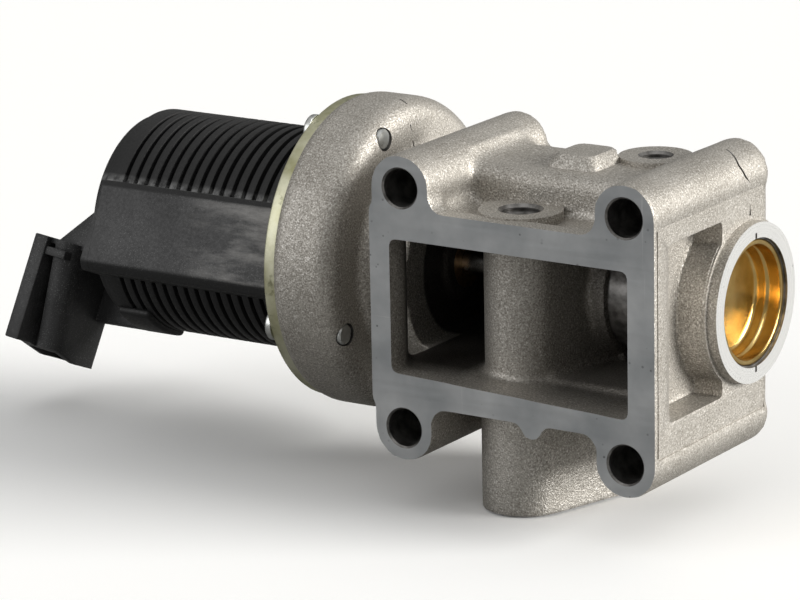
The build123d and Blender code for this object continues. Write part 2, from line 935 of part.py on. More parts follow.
def motor_housing():
    """Ribbed shell that ends in a flange, held in the body's recess by the clamp ring."""
    shell = turned(
        (cap_seam, housing_bore),
        (cap_seam, housing_r),
        (clamp_front, housing_r),
        (clamp_front, housing_flange_r),
        (housing_front, housing_flange_r),
        (housing_front, spring_cavity_r),
        (plate_front, spring_cavity_r),
        (plate_front, housing_bore),
    )
    for groove in range(groove_count):
        middle = cap_seam + first_groove + groove * groove_pitch
        half = groove_width / 2
        shell -= tube_x(housing_r + 1, housing_r - groove_depth, middle - half, middle + half)
    shell += wiring_prism(cap_seam, rim_x, wiring_base)
    shell += sector(housing_r - 1, lug_r, cap_seam, cap_seam + lug_length, lug_from, lug_to)
    shell -= rod_x(housing_bore, cap_seam - 1, plate_front)
    for strip in lead_strips():
        shell -= strip
    shell -= tube_x(
        seal_ring_r + seal_ring_width / 2,
        seal_ring_r - seal_ring_width / 2,
        housing_front - seal_ring_height,
        housing_front + 1,
    )
    return motor_place * shell


def housing_seal_ring():
    outer = seal_ring_r + seal_ring_width / 2
    inner = seal_ring_r - seal_ring_width / 2
    return stem_place * tube_x(outer, inner, housing_front - seal_ring_height, housing_front)


def flange_screws():
    """Four low-head socket screws through the clamp ring, their ends flush in the body flange."""
    head_rear = rim_x - screw_head_h
    screws = []
    for angle in screw_angles:
        screw = rod_x(screw_head_r, head_rear, rim_x)
        screw += rod_x(screw_r, rim_x, flange_front_x - screw_end_inset)
        socket = extrude(RegularPolygon(screw_socket_af / 2, 6, major_radius=False), screw_socket_depth)
        screw -= Pos(head_rear, 0, 0) * Rot(0, 90, 0) * socket
        screws.append(stem_place * around_x(Pos(0, screw_circle_r, 0) * screw, angle))
    return Compound(children=screws)


def connector_pins():
    middle = (shroud_back - shroud_face_bottom) / 2
    pins = []
    for pin in range(pin_count):
        x = (pin - (pin_count - 1) / 2) * pin_pitch
        pins.append(
            block(
                (x - pin_width / 2, x + pin_width / 2),
                (middle - pin_thickness / 2, middle + pin_thickness / 2),
                (-shroud_height + pin_recess, -shroud_floor / 2),
            )
        )
    return pins


def connector_shroud():
    """Shroud that opens downwards: tapered front face, guard rib, half-round key and latch bar."""
    half = shroud_width / 2
    side = Polyline(
        (shroud_back, 0),
        (-shroud_face_top, 0),
        (-shroud_face_bottom, -shroud_height),
        (shroud_back, -shroud_height),
        close=True,
    )
    plane = Plane(origin=(-half, 0, 0), x_dir=(0, 1, 0), z_dir=(1, 0, 0))
    shroud = extrude(plane * make_face(side), shroud_width)
    shroud += block((-half, -half + guard_width), (-guard_face, 0), (-shroud_height, 0))
    key_y = -(shroud_face_top + shroud_face_bottom) / 2
    key = rod_z(key_r, key_offset, key_y, -shroud_height, -latch_height)
    latch = block(
        (key_offset - key_r, key_offset - key_r + latch_width),
        (-guard_face + 0.6, 0),
        (-2 * latch_height, -latch_height),
    )
    return shroud + key + latch


def end_cap():
    cover = rod_x(housing_r, cap_rear, cap_seam)
    cover += wiring_prism(cap_rear, cap_seam, housing_bore / 2)
    cover = fillet(cover.faces().sort_by(Axis.X)[0].edges(), cap_round)
    spigot_r = housing_bore - cap_spigot_clearance
    cover += tube_x(spigot_r, spigot_r - cap_spigot_wall, cap_seam, cap_seam + cap_spigot)
    cover += rod_x(rear_bush_r + cap_bush_wall, cap_seam, cap_seam + rear_bush_length)
    cover -= rod_x(rear_bush_r + press_gap, cap_seam, cap_seam + rear_bush_length + 1)
    arm_low = shroud_top - arm_drop
    gusset = Polyline(
        (shroud_x - shroud_width / 2 + gusset_start, shroud_top),
        (cap_rear, shroud_top + gusset_rise),
        (cap_rear, arm_low),
        (shroud_x, arm_low),
        close=True,
    )
    gusset = along_y(make_face(gusset), -gusset_half, gusset_half)
    shroud_place = Pos(shroud_x, 0, shroud_top) * Rot(0, shroud_tilt, 0)
    inner = shroud_width / 2 - shroud_wall
    mouth = block(
        (-inner, inner),
        (-shroud_face_bottom + shroud_wall, shroud_back - shroud_wall),
        (-shroud_height - 1, -shroud_floor),
    )
    cap = cover + gusset + shroud_place * connector_shroud() - shroud_place * mouth
    for pin in connector_pins():
        cap -= shroud_place * pin
    return motor_place * cap


def connector_terminals():
    shroud_place = Pos(shroud_x, 0, shroud_top) * Rot(0, shroud_tilt, 0)
    return Compound(children=[motor_place * shroud_place * pin for pin in connector_pins()])


def lead_frame():
    return Compound(children=[motor_place * strip for strip in lead_strips()])


def position_sensor():
    """Sensor block on the housing's inner wall, level with the magnet on the spring plate."""
    half = sensor_width / 2
    sensor = block(
        (plate_front, plate_front + sensor_height),
        (-sensor_face - sensor_thickness, -sensor_face),
        (-half, half),
    )
    return motor_place * sensor


# ---- Motor can, magnets and brush gear --------------------------------------


def motor_can():
    return stem_place * tube_x(can_r, can_r - can_wall, brush_ring_front, plate_rear)


def magnets():
    """Two ferrite shells inside the can."""
    outer = can_r - can_wall
    ring = tube_x(outer, core_r + magnet_gap, magnet_rear, magnet_front)
    slot = (-magnet_slot_half, magnet_slot_half)
    return motor_place * (ring - block((magnet_rear - 1, magnet_front + 1), slot, (-can_r, can_r)))


def brush_holder():
    """Plastic ring on the can's end, with a box for each brush and posts for its leaf spring."""
    plate = tube_x(brush_ring_r, brush_ring_bore, brush_ring_rear, brush_ring_front)
    box_rear = brush_ring_rear - brush_depth
    box_start = brush_ring_bore + 0.2
    box_end = commutator_r + brush_gap + brush_length - 0.6
    for side in (1, -1):
        for edge in (1, -1):
            y = sorted((side * box_start, side * box_end))
            z = sorted((edge * (brush_width / 2 + press_gap), edge * (brush_width / 2 + brush_box_wall)))
            plate += block((box_rear, brush_ring_rear), y, z)
            post_y = side * (brush_spring_inner + brush_spring_thickness + brush_post_r)
            post = rod_x(brush_post_r, box_rear, brush_ring_rear)
            plate += Pos(0, post_y, edge * brush_spring_half) * post
    return motor_place * plate


def brushes():
    pair = []
    for side in (1, -1):
        y = sorted((side * (commutator_r + brush_gap), side * brush_spring_inner))
        half = brush_width / 2
        brush = block((brush_ring_rear - brush_depth, brush_ring_rear), y, (-half, half))
        pair.append(motor_place * brush)
    return Compound(children=pair)


def brush_springs():
    """Leaf springs that press the brushes on the commutator."""
    pair = []
    middle = brush_ring_rear - brush_depth / 2
    x = (middle - brush_spring_width / 2, middle + brush_spring_width / 2)
    half = brush_spring_half + brush_post_r
    for side in (1, -1):
        y = sorted((side * brush_spring_inner, side * (brush_spring_inner + brush_spring_thickness)))
        pair.append(motor_place * block(x, y, (-half, half)))
    return Compound(children=pair)


# ---- Nodes ------------------------------------------------------------------

nodes = {
    "valve_body": valve_body(),
    "end_plug": end_plug(),
    "seat_ring_left": seat_ring(
        left_seat_r, left_seat_bore, left_seat_face - left_seat_proud, left_seat_end
    ),
    "seat_ring_right": seat_ring(
        right_seat_r, right_seat_bore, right_seat_end - right_seat_length, right_seat_end
    ),
    "stem_guide_bush": stem_guide_bush(),
    "stem_seal": stem_seal(),
    "seal_cup": seal_cup(),
    "valve_stem": valve_stem(),
    "valve_disc_left": valve_disc(left_disc_r, left_disc_rear),
    "valve_disc_right": valve_disc(right_disc_r, right_disc_rear),
    "disc_spacer": disc_spacer(),
    "disc_nut": disc_nut(),
    "spring_seat": spring_seat(),
    "return_spring": return_spring(),
    "spindle": spindle(),
    "sensor_magnet": sensor_magnet(),
    "rotor_sleeve": rotor_sleeve(),
    "rotor_core": rotor_core(),
    "winding_ends": winding_ends(),
    "commutator": commutator(),
    "bearing_inner_race": bearing_inner_race(),
    "bearing_outer_race": bearing_outer_race(),
    "bearing_balls": bearing_balls(),
    "bearing_plate": bearing_plate(),
    "rear_bush": rear_bush(),
    "motor_housing": motor_housing(),
    "housing_seal_ring": housing_seal_ring(),
    "clamp_ring": clamp_ring_plate(),
    "flange_screws": flange_screws(),
    "end_cap": end_cap(),
    "connector_terminals": connector_terminals(),
    "lead_frame": lead_frame(),
    "position_sensor": position_sensor(),
    "motor_can": motor_can(),
    "magnets": magnets(),
    "brush_holder": brush_holder(),
    "brushes": brushes(),
    "brush_springs": brush_springs(),
}

os.makedirs("parts", exist_ok=True)
for name, shape in nodes.items():
    export_step(shape, f"parts/{name}.step")
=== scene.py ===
import math

import bpy
from mathutils import Matrix, Vector


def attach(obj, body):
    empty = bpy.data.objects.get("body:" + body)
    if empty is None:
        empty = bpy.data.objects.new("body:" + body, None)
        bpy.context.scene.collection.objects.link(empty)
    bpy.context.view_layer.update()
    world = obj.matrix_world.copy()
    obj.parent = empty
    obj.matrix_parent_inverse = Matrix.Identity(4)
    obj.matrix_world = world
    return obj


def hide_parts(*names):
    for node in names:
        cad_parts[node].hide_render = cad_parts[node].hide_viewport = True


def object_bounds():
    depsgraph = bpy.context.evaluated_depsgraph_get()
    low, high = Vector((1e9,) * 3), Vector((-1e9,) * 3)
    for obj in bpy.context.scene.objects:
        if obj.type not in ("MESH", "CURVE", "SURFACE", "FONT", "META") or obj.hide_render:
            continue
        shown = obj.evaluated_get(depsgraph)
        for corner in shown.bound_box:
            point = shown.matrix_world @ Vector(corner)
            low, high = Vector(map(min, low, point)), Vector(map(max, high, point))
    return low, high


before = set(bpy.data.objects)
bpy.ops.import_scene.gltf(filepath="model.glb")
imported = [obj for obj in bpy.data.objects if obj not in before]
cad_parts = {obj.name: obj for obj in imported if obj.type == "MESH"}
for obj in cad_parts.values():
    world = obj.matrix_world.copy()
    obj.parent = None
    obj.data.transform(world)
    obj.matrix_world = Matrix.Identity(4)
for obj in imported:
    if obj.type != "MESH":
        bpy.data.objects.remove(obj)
cad_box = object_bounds()

# ---- Valve body: the rough casting -------------------------------------------------------
# A sand-blasted aluminium casting: square front flange on four long bolt bosses, a casing, an
# egg-shaped exhaust column, and a round motor flange. Its cast corners are all a little soft.

mm = 0.001
hole_pitch_x = 56.0
hole_pitch_z = 54.0
boss_r = 7.35
boss_length = 50.5
neck_top = 22.3
neck_floor = 20.4
neck_bottom = -21.7
neck_depth = 18.0
flange_depth = 5.5
flange_lip_depth = 1.5
casing_top = 29.4
casing_bottom = -24.5
casing_round = 3.2
crown_rear = 44.0
saddle_round = 3.5
side_step = 0.45
stem_y = 40.85
stem_z = 0.3
column_x = -7.7
nose_y = 17.7
nose_r = 8.7
column_r = 15.7
column_wall = 4.0
stub_step = 1.0
stub_bottom = -46.0
port_x = -4.6
port_y = 11.9
port_rise = 0.35
port_boss_r = 9.3
port_hole_r = 4.3
rear_port_x = 12.3
rear_port_rise = 1.1
rear_port_boss_r = 8.2
rear_port_hole_r = 3.3
chamber_r = 15.3
chamber_left = -38.0
chamber_right = 24.0
barrel_wall = 4.2
neck_barrel_r = 24.0
guide_boss_r = 8.6
seat_boss_r = 15.5
spring_well_r = 14.6
bolt_hole_r = 4.25
window_left = -31.0
window_right = 28.7
window_top = 15.4
window_bottom = -14.6
window_drop = 2.4
ring_r = 17.74
ring_step_r = 18.8
rim_x = -68.75
rim_r = 34.84
clamp_thickness = 3.0
shoulder_r = 35.8
shoulder_round = 5.0
flange_front_x = -50.4
bolt_x = hole_pitch_x / 2
bolt_z = hole_pitch_z / 2
side_x = bolt_x + boss_r
panel_x = side_x - side_step
neck_left = -side_x - 0.85
ring_face = side_x + 1.85
clamp_front = rim_x + clamp_thickness
recess_x = -62.75
plug_bore_r = 14.0
cut_stock = 0.9
outside_voxel = 0.82
casting_voxel = 0.76
pocket_voxel = 0.7
core_voxel = 0.6


def apply_place():
    """The new primitive's place goes into its mesh, so its object sits at the origin."""
    bpy.ops.object.transform_apply(location=True, rotation=True, scale=True)
    return bpy.context.object


def slab(x, y, z):
    """Closed block between (low, high) pairs."""
    bpy.ops.object.select_all(action="DESELECT")
    centre = [sum(pair) / 2 * mm for pair in (x, y, z)]
    size = [(high - low) * mm for low, high in (x, y, z)]
    bpy.ops.mesh.primitive_cube_add(size=1, location=centre, scale=size)
    return apply_place()


def bar(axis, radius, start, end, u, v, sides=96, top_radius=None):
    """Closed round bar or cone along X, Y or Z, with u and v the other two places in order."""
    bpy.ops.object.select_all(action="DESELECT")
    turn = {"X": (0, math.pi / 2, 0), "Y": (-math.pi / 2, 0, 0), "Z": (0, 0, 0)}[axis]
    middle = (start + end) / 2
    place = {"X": (middle, u, v), "Y": (u, middle, v), "Z": (u, v, middle)}[axis]
    bpy.ops.mesh.primitive_cone_add(
        vertices=sides,
        radius1=radius * mm,
        radius2=(radius if top_radius is None else top_radius) * mm,
        depth=(end - start) * mm,
        location=[value * mm for value in place],
        rotation=turn,
    )
    return apply_place()


def moved(piece, matrix):
    piece.data.transform(matrix)
    return piece


stem_place = Matrix.Translation((0, stem_y * mm, stem_z * mm))


def on_stem(radius, start, end, sides=128):
    return moved(bar("X", radius, start, end, 0, 0, sides), stem_place)


def turned(outline, solid=False, sides=160):
    """Body of revolution about the X axis, through (x, radius) points.

    A ring closes back to its first point, and a solid has a flat face at each end.
    """
    bpy.ops.object.select_all(action="DESELECT")
    last_x, last_r = outline[0]
    bpy.ops.mesh.primitive_circle_add(
        vertices=sides,
        radius=last_r * mm,
        fill_type="NGON" if solid else "NOTHING",
        location=(last_x * mm, 0, 0),
        rotation=(0, math.pi / 2, 0),
    )
    piece = apply_place()
    bpy.ops.object.mode_set(mode="EDIT")
    bpy.ops.mesh.select_all(action="SELECT")
    for x, r in outline[1:] + ([] if solid else outline[:1]):
        bpy.ops.mesh.extrude_region_move(TRANSFORM_OT_translate={"value": ((x - last_x) * mm, 0, 0)})
        bpy.ops.transform.resize(value=(1, r / last_r, r / last_r), center_override=(x * mm, 0, 0))
        last_x, last_r = x, r
    bpy.ops.mesh.select_all(action="SELECT")
    bpy.ops.mesh.remove_doubles(threshold=0.002 * mm)
    bpy.ops.mesh.normals_make_consistent(inside=False)
    bpy.ops.object.mode_set(mode="OBJECT")
    return piece


def prism(points, start, end, axis):
    """Closed prism along an axis, through points given in the other two axes in their order."""
    bpy.ops.object.select_all(action="DESELECT")
    bpy.ops.mesh.primitive_circle_add(vertices=len(points), fill_type="NGON")
    piece = bpy.context.object
    along = "XYZ".index(axis)
    across = [place for place in range(3) if place != along]
    for vertex, point in zip(piece.data.vertices, points):
        vertex.co[along] = start * mm
        vertex.co[across[0]] = point[0] * mm
        vertex.co[across[1]] = point[1] * mm
    step = [0, 0, 0]
    step[along] = (end - start) * mm
    bpy.ops.object.mode_set(mode="EDIT")
    bpy.ops.mesh.select_all(action="SELECT")
    bpy.ops.mesh.extrude_region_move(TRANSFORM_OT_translate={"value": step})
    bpy.ops.mesh.select_all(action="SELECT")
    bpy.ops.mesh.normals_make_consistent(inside=False)
    bpy.ops.object.mode_set(mode="OBJECT")
    return piece


def arc(centre_x, centre_r, radius, start, end, steps=6):
    """Outline points on an arc, with angles in degrees from +X towards larger radius."""
    points = []
    for step in range(steps + 1):
        angle = math.radians(start + (end - start) * step / steps)
        points.append((centre_x + radius * math.cos(angle), centre_r + radius * math.sin(angle)))
    return points


def join(*pieces):
    bpy.ops.object.select_all(action="DESELECT")
    for piece in pieces:
        piece.select_set(True)
    bpy.context.view_layer.objects.active = pieces[0]
    bpy.ops.object.join()
    return pieces[0]


def apply_modifier(piece, kind, **settings):
    bpy.context.view_layer.objects.active = piece
    modifier = piece.modifiers.new(kind, kind)
    for name, value in settings.items():
        setattr(modifier, name, value)
    bpy.ops.object.modifier_apply(modifier=modifier.name)


def softened(piece, width=0.35, segments=2, angle=40):
    """Rounds the edges that turn by more than the angle."""
    limit = math.radians(angle)
    apply_modifier(
        piece, "BEVEL", width=width * mm, segments=segments, limit_method="ANGLE", angle_limit=limit
    )
    return piece


def relaxed(piece, times):
    """Eases the corners of a fused skin, as a sand mould does."""
    apply_modifier(piece, "SMOOTH", factor=0.5, iterations=times)


def cut(piece, cutter, operation="DIFFERENCE"):
    """Takes the cutter out of the piece. The new faces keep the cutter's material."""
    apply_modifier(
        piece, "BOOLEAN", operation=operation, object=cutter, solver="EXACT", material_mode="TRANSFER"
    )
    bpy.data.objects.remove(cutter)


def weld(piece, other):
    """Adds the other body to the piece, each with its own material."""
    cut(piece, other, "UNION")


def hull(*pieces):
    """The smallest convex body round the pieces."""
    piece = join(*pieces)
    bpy.ops.object.mode_set(mode="EDIT")
    bpy.ops.mesh.select_all(action="SELECT")
    bpy.ops.mesh.convex_hull()
    bpy.ops.mesh.normals_make_consistent(inside=False)
    bpy.ops.object.mode_set(mode="OBJECT")
    return piece


def fuse(piece, size):
    """Makes one closed skin of all that overlaps in the piece, with details down to a size."""
    apply_modifier(piece, "REMESH", mode="VOXEL", voxel_size=size * mm, use_smooth_shade=True)


def column(grow, bottom, top):
    """Egg-shaped prism: a small nose towards the window and a large round back."""
    nose = bar("Z", nose_r + grow, bottom, top, column_x, nose_y)
    back = bar("Z", column_r + grow, bottom, top, column_x, stem_y)
    return hull(nose, back)


def saddle(side, edge, bulk, y):
    """Concave corner between a bolt boss and the wall it rises from, of the saddle's radius."""
    up = 1 if bulk > 0 else -1
    centre_z = bulk + up * saddle_round
    rise = abs(centre_z) - bolt_z
    reach = boss_r + saddle_round
    centre_x = bolt_x - math.sqrt(reach * reach - rise * rise)
    inner = side * centre_x
    outer = side * (bolt_x - edge)
    z = sorted((bulk - up * 2, centre_z))
    block = slab(sorted((inner, outer)), y, z)
    cut(block, bar("Y", saddle_round, y[0] - 1, y[1] + 1, inner, centre_z, 64))
    return block


def bosses(start, end):
    rods = []
    for x in (-bolt_x, bolt_x):
        for z in (-bolt_z, bolt_z):
            rods.append(bar("Y", boss_r, start, end, x, z))
    return rods


def motor_flange():
    round_x = flange_front_x - shoulder_round
    outline = [(clamp_front - cut_stock, 8), (clamp_front - cut_stock, rim_r), (clamp_front, rim_r)]
    outline += [(clamp_front + 1, shoulder_r)]
    outline += arc(round_x, shoulder_r - shoulder_round, shoulder_round, 90, 0, 10)
    outline += [(flange_front_x, 8)]
    return moved(turned(outline), stem_place)


def pocket():
    """Cored pocket in the plug side, whose floor falls away from the flange in an S."""
    depth, front, rear, low, high = 7.6, 2.2, 30.0, -18.6, 20.6
    bulge, cove = 14.0, 9.0
    fall = depth * bulge / (bulge + cove)
    lean = math.sqrt(bulge**2 - (bulge - fall) ** 2)
    cove_lean = lean * cove / bulge
    steps = 8
    outline = [(side_x + 3, rear), (side_x + 3, front)]
    for step in range(steps + 1):
        y = lean * step / steps
        outline.append((side_x - bulge + math.sqrt(bulge**2 - y * y), front + y))
    for step in range(1, steps + 1):
        y = cove_lean * (1 - step / steps)
        outline.append((side_x - depth + cove - math.sqrt(cove**2 - y * y), front + lean + cove_lean - y))
    outline.append((side_x - depth, rear))
    return prism(outline, low, high, "Z")


def rounded(points, steps=3):
    """Outline whose corners with a third number are rounded, that far along both edges."""
    outline = []
    for index, point in enumerate(points):
        if len(point) == 2:
            outline.append(point)
            continue
        here = Vector(point[:2])
        start = here + (Vector(points[index - 1][:2]) - here).normalized() * point[2]
        end = here + (Vector(points[(index + 1) % len(points)][:2]) - here).normalized() * point[2]
        for step in range(steps + 1):
            part = step / steps
            outline.append(tuple((1 - part) ** 2 * start + 2 * part * (1 - part) * here + part**2 * end))
    return outline


def painted(piece, *materials):
    piece.data.materials.clear()
    for material in materials:
        piece.data.materials.append(material)
    return piece


def smooth_shaded(piece, angle=35):
    bpy.ops.object.select_all(action="DESELECT")
    piece.select_set(True)
    bpy.context.view_layer.objects.active = piece
    bpy.ops.object.shade_smooth_by_angle(angle=math.radians(angle))


# Node groups shared by the finishes: each reads a place on the piece, in metres


def group(name, inputs, outputs):
    tree = bpy.data.node_groups.new(name, "ShaderNodeTree")
    for label, kind, value in inputs:
        socket = tree.interface.new_socket(label, in_out="INPUT", socket_type=kind)
        if value is not None:
            socket.default_value = value
    for label, kind in outputs:
        tree.interface.new_socket(label, in_out="OUTPUT", socket_type=kind)
    return tree, tree.nodes.new("NodeGroupInput").outputs, tree.nodes.new("NodeGroupOutput").inputs


def node(tree, kind, links=None, **settings):
    """Adds a node. A link's value is an output socket or a plain value for that input."""
    made = tree.nodes.new(kind)
    for name, value in settings.items():
        setattr(made, name, value)
    for socket, value in (links or {}).items():
        target = made.inputs[socket]
        if isinstance(value, bpy.types.NodeSocket):
            tree.links.new(value, target)
        else:
            target.default_value = value
    return made


def ramp(tree, value, low, high, out_low=0.0, out_high=1.0):
    """Straight change from one value to another between two places."""
    links = {"Value": value, "From Min": low, "From Max": high, "To Min": out_low, "To Max": out_high}
    return node(tree, "ShaderNodeMapRange", links).outputs["Result"]


def noise(tree, place, scale, detail=3.0, roughness=0.55):
    links = {"Vector": place, "Scale": scale, "Detail": detail, "Roughness": roughness}
    return node(tree, "ShaderNodeTexNoise", links).outputs["Fac"]


def blended(tree, factor, first, second):
    """Mixes two colours. The mix node's colour sockets come after its number and vector ones."""
    return node(tree, "ShaderNodeMix", {0: factor, 6: first, 7: second}, data_type="RGBA").outputs[2]


def maths(tree, operation, first, second=0.0):
    return node(tree, "ShaderNodeMath", {0: first, 1: second}, operation=operation).outputs[0]


def multiplied(tree, mask, *others):
    """Mask that is strong only where all the masks are."""
    for other in others:
        mask = maths(tree, "MULTIPLY", mask, other)
    return mask


def tool_rings(tree, place, scale, detail):
    """Fine rings about the stem's axis, as a turning tool leaves them."""
    centre = node(tree, "ShaderNodeMapping", {"Vector": place, "Location": (0, -stem_y * mm, -stem_z * mm)})
    across = node(tree, "ShaderNodeMapping", {"Vector": centre.outputs[0], "Scale": (0, 1, 1)}).outputs[0]
    radius = node(tree, "ShaderNodeVectorMath", {0: across}, operation="LENGTH").outputs["Value"]
    links = {"W": maths(tree, "MULTIPLY", radius, scale), "Detail": detail}
    return node(tree, "ShaderNodeTexNoise", links, noise_dimensions="1D").outputs["Fac"]


VECTOR, FLOAT = "NodeSocketVector", "NodeSocketFloat"

# Cast grain: sand-like bumps, and patches a little lighter and darker
grain, inside, result = group(
    "cast_grain",
    [("Place", VECTOR, None), ("Grain Scale", FLOAT, 2600.0)],
    [("Height", FLOAT), ("Shade", FLOAT), ("Sparkle", FLOAT)],
)
fine = noise(grain, inside["Place"], inside["Grain Scale"], 2.0, 0.6)
coarse = noise(grain, inside["Place"], maths(grain, "MULTIPLY", inside["Grain Scale"], 0.4), 2.0)
patches = noise(grain, inside["Place"], 60.0, 2.0)
grain.links.new(maths(grain, "ADD", fine, maths(grain, "MULTIPLY", coarse, 0.5)), result["Height"])
speckle = maths(grain, "ADD", maths(grain, "MULTIPLY", fine, 0.75), maths(grain, "MULTIPLY", coarse, 0.15))
shade = maths(grain, "ADD", speckle, maths(grain, "MULTIPLY", patches, 0.2))
grain.links.new(ramp(grain, shade, 0.40, 0.70), result["Shade"])
grain.links.new(ramp(grain, fine, 0.60, 0.68), result["Sparkle"])

# Marks: long thin scratches in two directions, and small pits
marks, inside, result = group(
    "handling_marks",
    [("Place", VECTOR, None), ("Scratch Scale", FLOAT, 260.0), ("Pit Scale", FLOAT, 420.0)],
    [("Scratches", FLOAT), ("Pits", FLOAT)],
)
lines = []
for turn, stretch in (((0.3, 0.9, 0.2), (1, 1, 0.03)), ((1.1, 0.2, 0.7), (0.03, 1, 1))):
    turned_place = node(
        marks, "ShaderNodeMapping", {"Vector": inside["Place"], "Rotation": turn, "Scale": stretch}
    ).outputs[0]
    streak = noise(marks, turned_place, inside["Scratch Scale"], 4.0, 0.65)
    lines.append(ramp(marks, streak, 0.66, 0.72))
marks.links.new(maths(marks, "MAXIMUM", *lines), result["Scratches"])
cells = node(
    marks, "ShaderNodeTexVoronoi", {"Vector": inside["Place"], "Scale": inside["Pit Scale"]}
).outputs["Distance"]
sparse = ramp(marks, noise(marks, inside["Place"], 160.0, 2.0), 0.5, 0.62)
marks.links.new(maths(marks, "MULTIPLY", ramp(marks, cells, 0.16, 0.08), sparse), result["Pits"])


def surface(name, metallic=0.0, roughness=0.5):
    """New material: its tree, its shader, and the place on the piece."""
    material = bpy.data.materials.new(name)
    material.use_nodes = True
    tree = material.node_tree
    shader = tree.nodes["Principled BSDF"]
    shader.inputs["Metallic"].default_value = metallic
    shader.inputs["Roughness"].default_value = roughness
    return material, tree, shader, node(tree, "ShaderNodeTexCoord").outputs["Object"]


def place_group(tree, kind, place):
    return node(tree, "ShaderNodeGroup", {"Place": place}, node_tree=kind).outputs


def bump(tree, shader, height, distance, strength=1.0):
    links = {"Height": height, "Distance": distance * mm, "Strength": strength}
    tree.links.new(node(tree, "ShaderNodeBump", links).outputs[0], shader.inputs["Normal"])


def rgb(red, green, blue):
    return (red, green, blue, 1.0)


# Cast skin of the body, with painted shade inside the gas space, darkest at its motor end
cast_skin, tree, shader, place = surface("cast_skin", metallic=0.8)
sand = place_group(tree, grain, place)
tone = blended(tree, sand["Shade"], rgb(0.27, 0.25, 0.22), rgb(0.62, 0.59, 0.545))
tone = blended(tree, maths(tree, "MULTIPLY", sand["Sparkle"], 0.5), tone, rgb(0.95, 0.93, 0.90))
spot = node(tree, "ShaderNodeSeparateXYZ", {"Vector": place}).outputs
off_axis = [
    maths(tree, "POWER", maths(tree, "SUBTRACT", spot[1], stem_y * mm), 2),
    maths(tree, "POWER", maths(tree, "SUBTRACT", spot[2], stem_z * mm), 2),
]
in_chamber = ramp(tree, maths(tree, "ADD", *off_axis), (17.0 * mm) ** 2, (16.2 * mm) ** 2)
before_stem = maths(
    tree, "MULTIPLY", ramp(tree, spot[0], -35.0 * mm, -34.6 * mm), ramp(tree, spot[1], 41 * mm, 40 * mm)
)
gas_side = multiplied(
    tree,
    ramp(tree, spot[0], -38.6 * mm, -38.2 * mm), ramp(tree, spot[0], 24.8 * mm, 24.4 * mm),
    ramp(tree, spot[1], 2.0 * mm, 12 * mm),
    ramp(tree, spot[2], -18.4 * mm, -17.6 * mm), ramp(tree, spot[2], 16.2 * mm, 15.8 * mm),
    maths(tree, "MAXIMUM", in_chamber, before_stem),
)
# Painted shade inside the gas space: darkest towards the motor end, lightest at the column in the middle,
# half dark towards the plug end
painted_chamber_shade = maths(
    tree, "ADD",
    ramp(tree, spot[0], -15 * mm, -19 * mm, 0.15, 0.9), ramp(tree, spot[0], 0, 6 * mm, 0.0, 0.45),
)
tone = blended(tree, maths(tree, "MULTIPLY", gas_side, painted_chamber_shade), tone, rgb(0.035, 0.03, 0.026))
tree.links.new(tone, shader.inputs["Base Color"])
tree.links.new(ramp(tree, sand["Shade"], 0, 1, 0.62, 0.46), shader.inputs["Roughness"])
bump(tree, shader, sand["Height"], 0.16, 0.9)

# Milled flange face: grey-blue, with fine lay lines, pits and scratches from handling
milled_face, tree, shader, place = surface("milled_face", metallic=0.9)
wear = place_group(tree, marks, place)
lay_place = node(tree, "ShaderNodeMapping", {"Vector": place, "Scale": (0.04, 1, 1)}).outputs[0]
lay = noise(tree, lay_place, 900.0, 3.0)
cloud = noise(tree, place, 60.0, 4.0)
tone = blended(tree, ramp(tree, cloud, 0.35, 0.68), rgb(0.36, 0.375, 0.39), rgb(0.56, 0.57, 0.58))
tone = blended(tree, maths(tree, "MULTIPLY", wear["Scratches"], 0.5), tone, rgb(0.75, 0.75, 0.75))
tone = blended(tree, maths(tree, "MULTIPLY", wear["Pits"], 0.8), tone, rgb(0.06, 0.06, 0.06))
tree.links.new(tone, shader.inputs["Base Color"])
tree.links.new(ramp(tree, lay, 0.3, 0.7, 0.3, 0.46), shader.inputs["Roughness"])
depth = maths(tree, "SUBTRACT", maths(tree, "MULTIPLY", lay, 0.3), wear["Pits"])
bump(tree, shader, depth, 0.05, 0.5)

# Turned faces and bores: brighter, with rings left by the tool
turned_face, tree, shader, place = surface("turned_face", metallic=0.6)
rings = tool_rings(tree, place, 5200.0, 3.0)
wear = place_group(tree, marks, place)
tone = blended(tree, ramp(tree, rings, 0.3, 0.7), rgb(0.70, 0.70, 0.69), rgb(0.88, 0.88, 0.87))
tone = blended(tree, maths(tree, "MULTIPLY", wear["Pits"], 0.6), tone, rgb(0.15, 0.14, 0.13))
tree.links.new(tone, shader.inputs["Base Color"])
tree.links.new(ramp(tree, rings, 0.3, 0.7, 0.24, 0.4), shader.inputs["Roughness"])
bump(tree, shader, rings, 0.02, 0.4)

# Bolt hole walls: drilled, and painted dark as shade inside the holes; the bores, stakes and cracks take it
# too
hole_wall_shade, tree, shader, place = surface("hole_wall_shade", metallic=0.9, roughness=0.42)
wall_shade_cloud = noise(tree, place, 350.0, 4.0)
tree.links.new(
    blended(tree, ramp(tree, wall_shade_cloud, 0.35, 0.65), rgb(0.10, 0.095, 0.09), rgb(0.32, 0.31, 0.30)),
    shader.inputs["Base Color"],
)
bump(tree, shader, wall_shade_cloud, 0.05, 0.5)

# Outer bulk, with stock left where it will be machined
blocks = [
    slab((-side_x + 0.5, panel_x), (neck_depth, boss_length), (casing_bottom, bolt_z)),
    slab((-side_x, -bolt_x), (-cut_stock, boss_length), (-bolt_z, bolt_z)),
    slab((bolt_x, panel_x), (-cut_stock, boss_length), (-bolt_z, bolt_z)),
    slab((bolt_x, side_x), (-cut_stock, flange_lip_depth), (-bolt_z, bolt_z)),
    slab((neck_left, side_x), (-cut_stock, flange_depth), (neck_bottom, neck_top)),
    slab((neck_left, panel_x), (0, neck_depth), (neck_bottom, neck_floor)),
]
